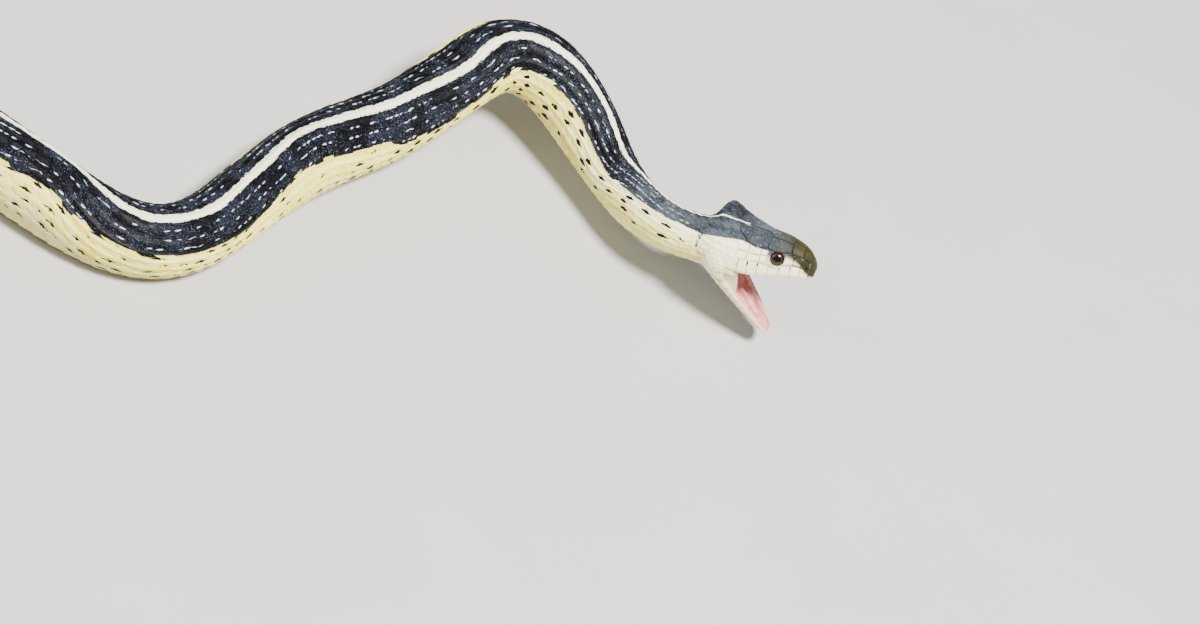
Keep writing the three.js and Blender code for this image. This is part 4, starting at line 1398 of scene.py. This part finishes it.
def drop_scales(name, leaf, points, spots, marks, sideways=(0, 1), flattest=0.55):
    """Scales moved to the skin below them and lifted off it. Those over a sharp edge are left out."""
    ground, facing = nearest_skin(points.reshape(-1, 3))
    ground, facing = ground.reshape(points.shape), facing.reshape(points.shape)
    mean = unit(facing.mean(1, keepdims=True))
    flat = (facing * mean).sum(-1).min(1)
    to_side = np.abs(mean[:, 0] @ head_turn[:, 1])
    kept = (flat > flattest) & (to_side >= sideways[0]) & (to_side < sideways[1])
    lifts = (leaf[0][None, :, 2:] + 1) * COAT_DEPTH * SMALL_SCALE_LIFT
    marks["tone"] = np.clip(0.5 + 0.28 * rng.standard_normal((len(points), 1)), 0, 1)
    marks = {key: np.broadcast_to(value, points.shape[:2])[kept] for key, value in marks.items()}
    return joined_copies(name, leaf, (ground + facing * lifts)[kept], spots[kept], marks)


# %% Guide surfaces
def guide_nape(places, angles):
    """From the crown back over the nape to the body's own outline."""
    turned = angles + smooth_value(ROLL, places)
    head = head_to_world(crown_point(np.clip(places, 0, 27), np.clip(90 - turned, -8, 188)))
    share = smooth_step(24, 30, places)[..., None]
    return head * (1 - share) + body_point(np.maximum(places, 25), angles, 0) * share


def guide_chin(places, angles):
    """The lower jaw's outside, with angles counted as on the body."""
    return head_to_world(jaw_point(places, 90 + np.sign(angles) * (180 - np.abs(angles))))


def guide_throat(places, angles):
    """Straight across the bend between the open jaw and the neck."""
    share = np.clip((places - 21) / 11, 0, 1)[..., None]
    front = guide_chin(21 + 0 * places, angles)
    return front * (1 - share) + body_point(32 + 0 * places, angles, 0) * share


def guided_scales(name, leaf, roots, guide, marks_for, sizes, sideways=(0, 1)):
    """Scales that start from a guide surface: roots are place and angle, and sizes their reach."""
    corners = leaf[0]
    places = roots[:, :1] + corners[None, :, 0] * sizes[0]
    angles = roots[:, 1:2] + corners[None, :, 1] * sizes[1]
    spots = bake_spot(roots[:, 0], roots[:, 1])
    return drop_scales(name, leaf, guide(places, angles), spots, marks_for(places, angles), sideways)


def staggered(start, end, pitch, low, high, step):
    """Roots in staggered rows: places from start to end and angles from low to high."""
    roots = []
    for ring, place in enumerate(np.arange(start, end, pitch)):
        for angle in np.arange(low, high + 0.1, step):
            row = round((angle - low) / step)
            roots.append((place + (pitch / 2 if row % 2 else 0), angle))
    return np.array(roots)


# %% Nape, throat and chin
NAPE_FRONT = [(0, 18.6), (20, 18.2), (36, 16.4), (45, 16.2), (72, 17.2), (90, 17.4)]
NAPE_ROW = 14.7
NAPE_BAR = {"place": 28.8, "width": 0.55, "end": 100}


def nape_marks(places, angles):
    marks = body_markings(np.maximum(places, 30), angles)
    ahead = 1 - smooth_step(26, 30, places)
    head = head_markings(np.minimum(places, 27), angles + smooth_value(ROLL, places))
    for key in head:
        marks[key] = marks.get(key, 0) * (1 - ahead) + head[key] * ahead
    bar = np.exp(-((places - NAPE_BAR["place"]) / NAPE_BAR["width"])**2) * 0.7
    bar = bar * (1 - smooth_step(NAPE_BAR["end"] - 5, NAPE_BAR["end"] + 5, np.abs(angles)))
    marks["dark"] = np.maximum(marks["dark"], bar * (1 - marks["stripe"]))
    marks["fleck"] = marks["speck"] = 0
    behind_jaw = smooth_step(17, 22, places) * (1 - smooth_step(29, 36, places))
    shade = 0.6 * behind_jaw * smooth_step(14, -8, angles)
    marks["head"] = np.maximum(marks["head"], ahead) * (1 - shade * marks["dark"])
    return marks


def pale_marks(*_):
    return plain_marks(belly=0.3, head=1)


def about_belly(roots):
    """Angles that run on past 180 degrees, turned round to count from the other side."""
    return np.stack([roots[:, 0], (roots[:, 1] + 180) % 360 - 180], 1)


nape_roots = staggered(15.5, NAPE_END + 0.5, 2.1, -5 * NAPE_ROW, 5 * NAPE_ROW, NAPE_ROW)
nape_roots = nape_roots[nape_roots[:, 0] > smooth_value(NAPE_FRONT, np.abs(nape_roots[:, 1]))]
nape = guided_scales("scales_nape", keeled_leaf, nape_roots, guide_nape, nape_marks, (3.1, 8.6))
throat_roots = about_belly(staggered(21, 31.4, 2.2, 106, 254, 10.6))
throat = guided_scales(
    "scales_throat", smooth_leaf, throat_roots, guide_throat, pale_marks, (3.0, 6.4), (0, 0.72)
)
chin_roots = staggered(7.5, 21, 2.0, 122, 238, 12)
middle_free = (np.abs(chin_roots[:, 1] - 180) > 34) | (chin_roots[:, 0] > 13)
chin_roots = about_belly(chin_roots[middle_free])
chin = guided_scales("scales_chin", smooth_leaf, chin_roots, guide_chin, pale_marks, (2.6, 6.6))

# %% [markdown]
# The sides of the head behind the mouth are where the skin stretches, and no guide fits them. They
# are looked at straight from the side: a staggered pattern of spots is cast onto the skin, and each
# spot that lands there gets a scale that lies back along the jaw, and further back along the neck.

# %% The cheeks
CHEEK_PITCH = 1.8
CHEEK_ROW = 1.15
CHEEK_SCALE = (2.5, 0.86)
CHEEK_FROM, CHEEK_TO = 17.9, 32
CHEEK_TOP, CHEEK_FOOT = 3.2, -13
STRETCH_SHRINK = 0.3


def cast_sideways(side):
    """Spots on one side of the head, as seen from that side, and which way the skin faces there."""
    spots, facing = [], []
    inwards = Vector(head_turn @ [0, -side, 0])
    for row, height in enumerate(np.arange(CHEEK_FOOT, CHEEK_TOP, CHEEK_ROW)):
        start = CHEEK_FROM - 8 + (CHEEK_PITCH / 2 if row % 2 else 0)
        for distance in np.arange(start, CHEEK_TO, CHEEK_PITCH):
            origin = head_to_world([HEAD_LENGTH - distance, side * 20, LIP_HEIGHT + height])
            spot, normal, _, _ = tree.ray_cast(Vector(origin) * MM, inwards)
            if spot is not None:
                spots.append(np.array(spot) / MM)
                facing.append(np.array(normal))
    return np.array(spots), np.array(facing)


def closed_distance(local):
    """How far behind the snout points of the open jaw would be with the mouth closed."""
    turn = math.radians(GAPE)
    forward = (local[:, 0] - HINGE_X) * math.cos(turn) - (local[:, 2] - HINGE_Z) * math.sin(turn)
    return HINGE["distance"] - forward


def on_cheek(spots, facing, side):
    """Which spots lie on the cheek: behind both rows of lip plates, and facing to the side."""
    local = head_local(spots)
    distance, height = HEAD_LENGTH - local[:, 0], local[:, 2] - LIP_HEIGHT
    behind_lip = (distance > CHEEK_FROM) | (height < -2.2)
    behind_jaw = (closed_distance(local) > JAW_LIP_EDGES[-1] + 0.3) | (distance > HINGE["distance"])
    outside = (local[:, 1] * side > 3) & (facing @ head_turn[:, 1] * side > 0.45)
    return behind_lip & behind_jaw & outside


def cheek_flow(local):
    """Which way the scales point, and how far the skin is stretched there, from 0 to 1."""
    ahead = local[:, 0] - HINGE_X
    fall = np.clip(np.arctan2(HINGE_Z - local[:, 2], ahead + 4), 0, math.radians(GAPE))
    tilt = fall * smooth_step(-3, 3, ahead)
    back = head_turn @ np.stack([-np.cos(tilt), 0 * tilt, np.sin(tilt)])
    neck = body_axes(np.array(NAPE_END))[1]
    share = smooth_step(2, -3, ahead)[:, None]
    stretch = smooth_step(0, 3, ahead) * smooth_step(0, 0.2, tilt) * smooth_step(0.9, 0.6, tilt)
    return back.T * (1 - share) + neck * share, stretch


# %% Laying the cheeks' scales
def cheek_scales(name, side):
    spots, facing = cast_sideways(side)
    kept = on_cheek(spots, facing, side)
    spots, facing = spots[kept], facing[kept]
    flow, stretch = cheek_flow(head_local(spots))
    flow = unit(flow - facing * (flow * facing).sum(1, keepdims=True))
    across = np.cross(facing, flow)
    corners = smooth_leaf[0]
    size = 1 - STRETCH_SHRINK * stretch[:, None, None]
    points = spots[:, None] + size * CHEEK_SCALE[0] * corners[None, :, :1] * flow[:, None]
    points = points + size * CHEEK_SCALE[1] * corners[None, :, 1:2] * across[:, None]
    places, angles = find_place(points.reshape(-1, 3))
    places, angles = places.reshape(points.shape[:2]), angles.reshape(points.shape[:2])
    bake = bake_spot(places[:, 0], angles[:, 0])
    return drop_scales(name, smooth_leaf, points, bake, nape_marks(places, angles), flattest=0.3)


cheeks = [cheek_scales("scales_cheek_right", -1), cheek_scales("scales_cheek_left", 1)]
small_scales = [nape, throat, chin, *cheeks]

# %% [markdown]
# ## The eyes
# A snake has no lids. A clear scale, the spectacle, covers the eye, so it looks like a bead of
# glass. The pupil is round, and a thin ring round it is only a little paler than the dark iris.

# %% Eyes
def model_eye(name, side):
    bpy.ops.mesh.primitive_uv_sphere_add(segments=48, ring_count=32, radius=1)
    eye = bpy.context.object
    eye.name = eye.data.name = name
    ball = read_points(eye)
    turned = np.stack([ball[:, 0], side * ball[:, 2], -side * ball[:, 1]], 1)
    set_marks(eye, {"axis": np.degrees(np.arccos(np.clip(ball[:, 2], -1, 1)))})
    local = turned * EYE_RADII @ eye_turn(side).T + eye_middle(side)
    write_points(eye, head_to_world(local) * MM)
    bpy.ops.object.shade_smooth()
    return eye


def eye_material():
    sheet = Sheet("eye_paint")
    axis = sheet.attribute("axis")
    pupil = 1 - axis.step(34.0, 36.0)
    ring = axis.step(34.0, 36.0) * (1 - axis.step(36.5, 40.0)) * 0.28
    streaks = sheet.noise(2200, 3)
    iris = sheet.mix(streaks.step(0.35, 0.65), (30, 12, 9), (52, 22, 15))
    iris = sheet.mix(axis.step(45, 75), iris, (18, 10, 10))
    colour = sheet.mix(ring, iris, (140, 96, 60))
    colour = sheet.mix(pupil, colour, (4, 4, 5))
    return sheet.finish(
        colour, streaks * 0.05 + 0.12, Coat_Weight=0.6, Coat_Roughness=0.03, Specular_IOR_Level=0.2
    )


eye_paint = eye_material()
eyes = {"eye_right": model_eye("eyeball_right", -1), "eye_left": model_eye("eyeball_left", 1)}
for eye in eyes.values():
    eye.data.materials.append(eye_paint)
    print(eye.name, "triangles", count_triangles(eye))

# %% [markdown]
# ## Inside the mouth
# The open mouth shows wet pink skin: a ridge of gum inside each lip with small backward-curving
# teeth in it, a second ridge on each side of the palate, and on the floor the sheath that the
# tongue is drawn into.

# %% Gums, teeth and tongue sheath
def tube_along(name, centres, radii, around=10):
    """A closed tube along points on the head's axes."""
    centres, radii = np.array(centres, float), np.array(radii, float)
    run = unit(np.gradient(centres, axis=0))
    side = unit(np.cross(run, [0, 0.1, 1.0]))
    top = np.cross(side, run)

    def shape(u, v):
        row = np.rint(u * (len(centres) - 1)).astype(int)
        turn = v * 2 * np.pi
        out = side[row] * np.cos(turn)[:, None] + top[row] * np.sin(turn)[:, None]
        return head_to_world(centres[row] + out * radii[row][:, None])

    return mapped_grid(name, len(centres) - 1, around, shape)


def gum_line(surface, side, front, back, count=24):
    distance = np.linspace(front, back, count)
    return surface(distance, np.full(count, side))


UPPER_GUM, LOWER_GUM, PALATE_GUM = 0.74, 0.76, 0.36
GUM_RADIUS = 0.62
swell = GUM_RADIUS * np.sin(np.pi * np.linspace(0.06, 0.94, 24))**0.4
soft = []
for side in (-1, 1):
    soft.append(tube_along("gum", gum_line(palate_point, side * UPPER_GUM, 1.6, 19.5), swell))
    soft.append(tube_along("gum", gum_line(jaw_floor_point, side * LOWER_GUM, 2, 19), swell))
    soft.append(tube_along("gum", gum_line(palate_point, side * PALATE_GUM, 3.5, 19), swell * 0.75))
sheath_line = [(HEAD_LENGTH - d, 0, LIP_HEIGHT - 1.0) for d in np.linspace(4.5, 13.5, 18)]
sheath_size = 0.9 * np.sin(np.pi * np.linspace(0.05, 0.95, 18))**0.5
soft.append(tube_along("sheath", swing(np.array(sheath_line)), sheath_size, 16))
mouth_lining = join_pieces("mouth_lining", soft)
print("mouth lining:", count_triangles(mouth_lining), "triangles")

# %% Teeth
TEETH_A_SIDE = 14
TOOTH_LENGTH = 0.62
TOOTH_RADIUS = 0.13
TOOTH_ROOT = 0.45


def tooth_row(surface, side, front, back, down):
    """A row of curved teeth on one gum: down is -1 in the palate and 1 in the lower jaw."""
    teeth = []
    for distance in np.linspace(front, back, TEETH_A_SIDE):
        root = surface(np.array([distance]), np.array([side]), TOOTH_ROOT)[0]
        steps = np.linspace(0, 1, 5)
        bend = np.stack([-0.55 * steps**2, 0 * steps, down * steps], 1) * TOOTH_LENGTH
        if down > 0:
            bend = swing(bend) - swing(np.zeros(3))
        teeth.append(tube_along("tooth", root + bend, TOOTH_RADIUS * (1 - 0.93 * steps), 6))
    return teeth


teeth_parts = []
for side in (-1, 1):
    teeth_parts += tooth_row(palate_point, side * UPPER_GUM, 3, 17, -1)
    teeth_parts += tooth_row(jaw_floor_point, side * LOWER_GUM, 3, 16, 1)
teeth = join_pieces("teeth", teeth_parts)
print("teeth:", len(teeth_parts))

# %% Paint for the mouth and the skin
def mouth_material():
    sheet = Sheet("mouth_paint")
    cloud = sheet.noise(700, 4)
    grain = sheet.noise(4200, 2)
    colour = sheet.mix(cloud.step(0.35, 0.7), (205, 132, 124), (226, 172, 160))
    return sheet.finish(
        colour, grain * 0.12 + 0.16, sheet.bump(cloud, 0.25, 0.0002), Coat_Weight=0.5, Coat_Roughness=0.1
    )


def tooth_material():
    sheet = Sheet("tooth_paint")
    cloud = sheet.noise(2400, 3)
    colour = sheet.mix(cloud.step(0.3, 0.7), (238, 232, 214), (222, 210, 182))
    return sheet.finish(colour, cloud * 0.1 + 0.2)


def skin_material():
    sheet = Sheet("skin_paint")
    dark, stripe = sheet.attribute("dark"), sheet.attribute("stripe")
    belly, mouth = sheet.attribute("belly"), sheet.attribute("mouth")
    head, snout = sheet.attribute("head"), sheet.attribute("snout")
    cloud = sheet.noise(420, 4)
    fine = sheet.noise(3200, 3)
    flank = sheet.mix(cloud.step(0.4, 0.7), (222, 214, 160), (190, 176, 122))
    straw = sheet.mix(cloud.step(0.4, 0.7), (190, 168, 118), (156, 120, 80))
    night = sheet.mix(cloud.step(0.42, 0.62), (24, 28, 44), (150, 162, 190))
    night = sheet.mix(head, night, sheet.mix(snout, (40, 44, 50), (66, 60, 38)))
    colour = sheet.mix(belly, flank, straw)
    colour = sheet.mix(dark, colour, night)
    colour = sheet.mix(stripe, colour, (206, 204, 170))
    pink = sheet.mix(cloud.step(0.35, 0.7), (196, 118, 112), (222, 160, 150))
    colour = sheet.mix(mouth, colour, pink)
    roughness = 0.5 - mouth * 0.3 + fine * 0.12
    return sheet.finish(colour, roughness, sheet.bump(fine, 0.3, 0.0003))


for piece, finish in ((skin, skin_material()), (mouth_lining, mouth_material()), (teeth, tooth_material())):
    piece.data.materials.append(finish)
    select_only(piece)
    bpy.ops.object.shade_smooth()
    print(piece.name, "wears", finish.name)

# %% [markdown]
# ## Floor and light
# The animal lies on a plain pale floor. The light is one soft lamp high above, to the right and a
# little in front, with a large dim one low on the left so that the shadows stay open.

# %% Floor and light
bpy.ops.mesh.primitive_plane_add(size=9, location=(0.1, 0.3, 0))
floor = bpy.context.object
floor.name = "floor"
floor_sheet = Sheet("floor_paint")
floor.data.materials.append(floor_sheet.finish(
    floor_sheet.mix(floor_sheet.noise(30, 3), (176, 175, 172), (184, 183, 180)), 0.8
))


def add_light(name, place, aim, size, power, colour):
    lamp = bpy.data.lights.new(name, "AREA")
    lamp.shape = "DISK"
    lamp.size, lamp.energy, lamp.color = size, power, colour
    light = bpy.data.objects.new(name, lamp)
    bpy.context.scene.collection.objects.link(light)
    light.location = place
    light.rotation_euler = (Vector(aim) - Vector(place)).to_track_quat("-Z", "Y").to_euler()


add_light("key_light", (0.55, -0.35, 1.4), (0.05, 0, 0), 0.4, 90, (1, 0.97, 0.92))
add_light("fill_light", (-0.8, -0.9, 0.9), (0, 0, 0), 1.2, 8, (0.88, 0.93, 1))
world = bpy.data.worlds.new("soft_room")
bpy.context.scene.world = world
world.use_nodes = True
background = world.node_tree.nodes["Background"].inputs
background["Color"].default_value = (0.86, 0.9, 1, 1)
background["Strength"].default_value = 0.42

# %% Hiding the frame's solids and hanging the pieces on the body
BODY_NODES = ["neck"] + [f"body_{n}" for n in range(1, 10)] + ["tail_1", "tail_2", "tail_3"]
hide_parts("head", "lower_jaw", *BODY_NODES)
for node, eye in eyes.items():
    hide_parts(node)
coverings = [*coat, *belly, crown_shields, jaw_shields, *small_scales, mouth_lining, teeth]
all_pieces = [skin, *coverings, *eyes.values()]
for piece in all_pieces:
    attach(piece, "root")
print("pieces:", len(all_pieces))

# %% Sizes and the end
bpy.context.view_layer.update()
print("triangles in all:", sum(count_triangles(piece) for piece in all_pieces))
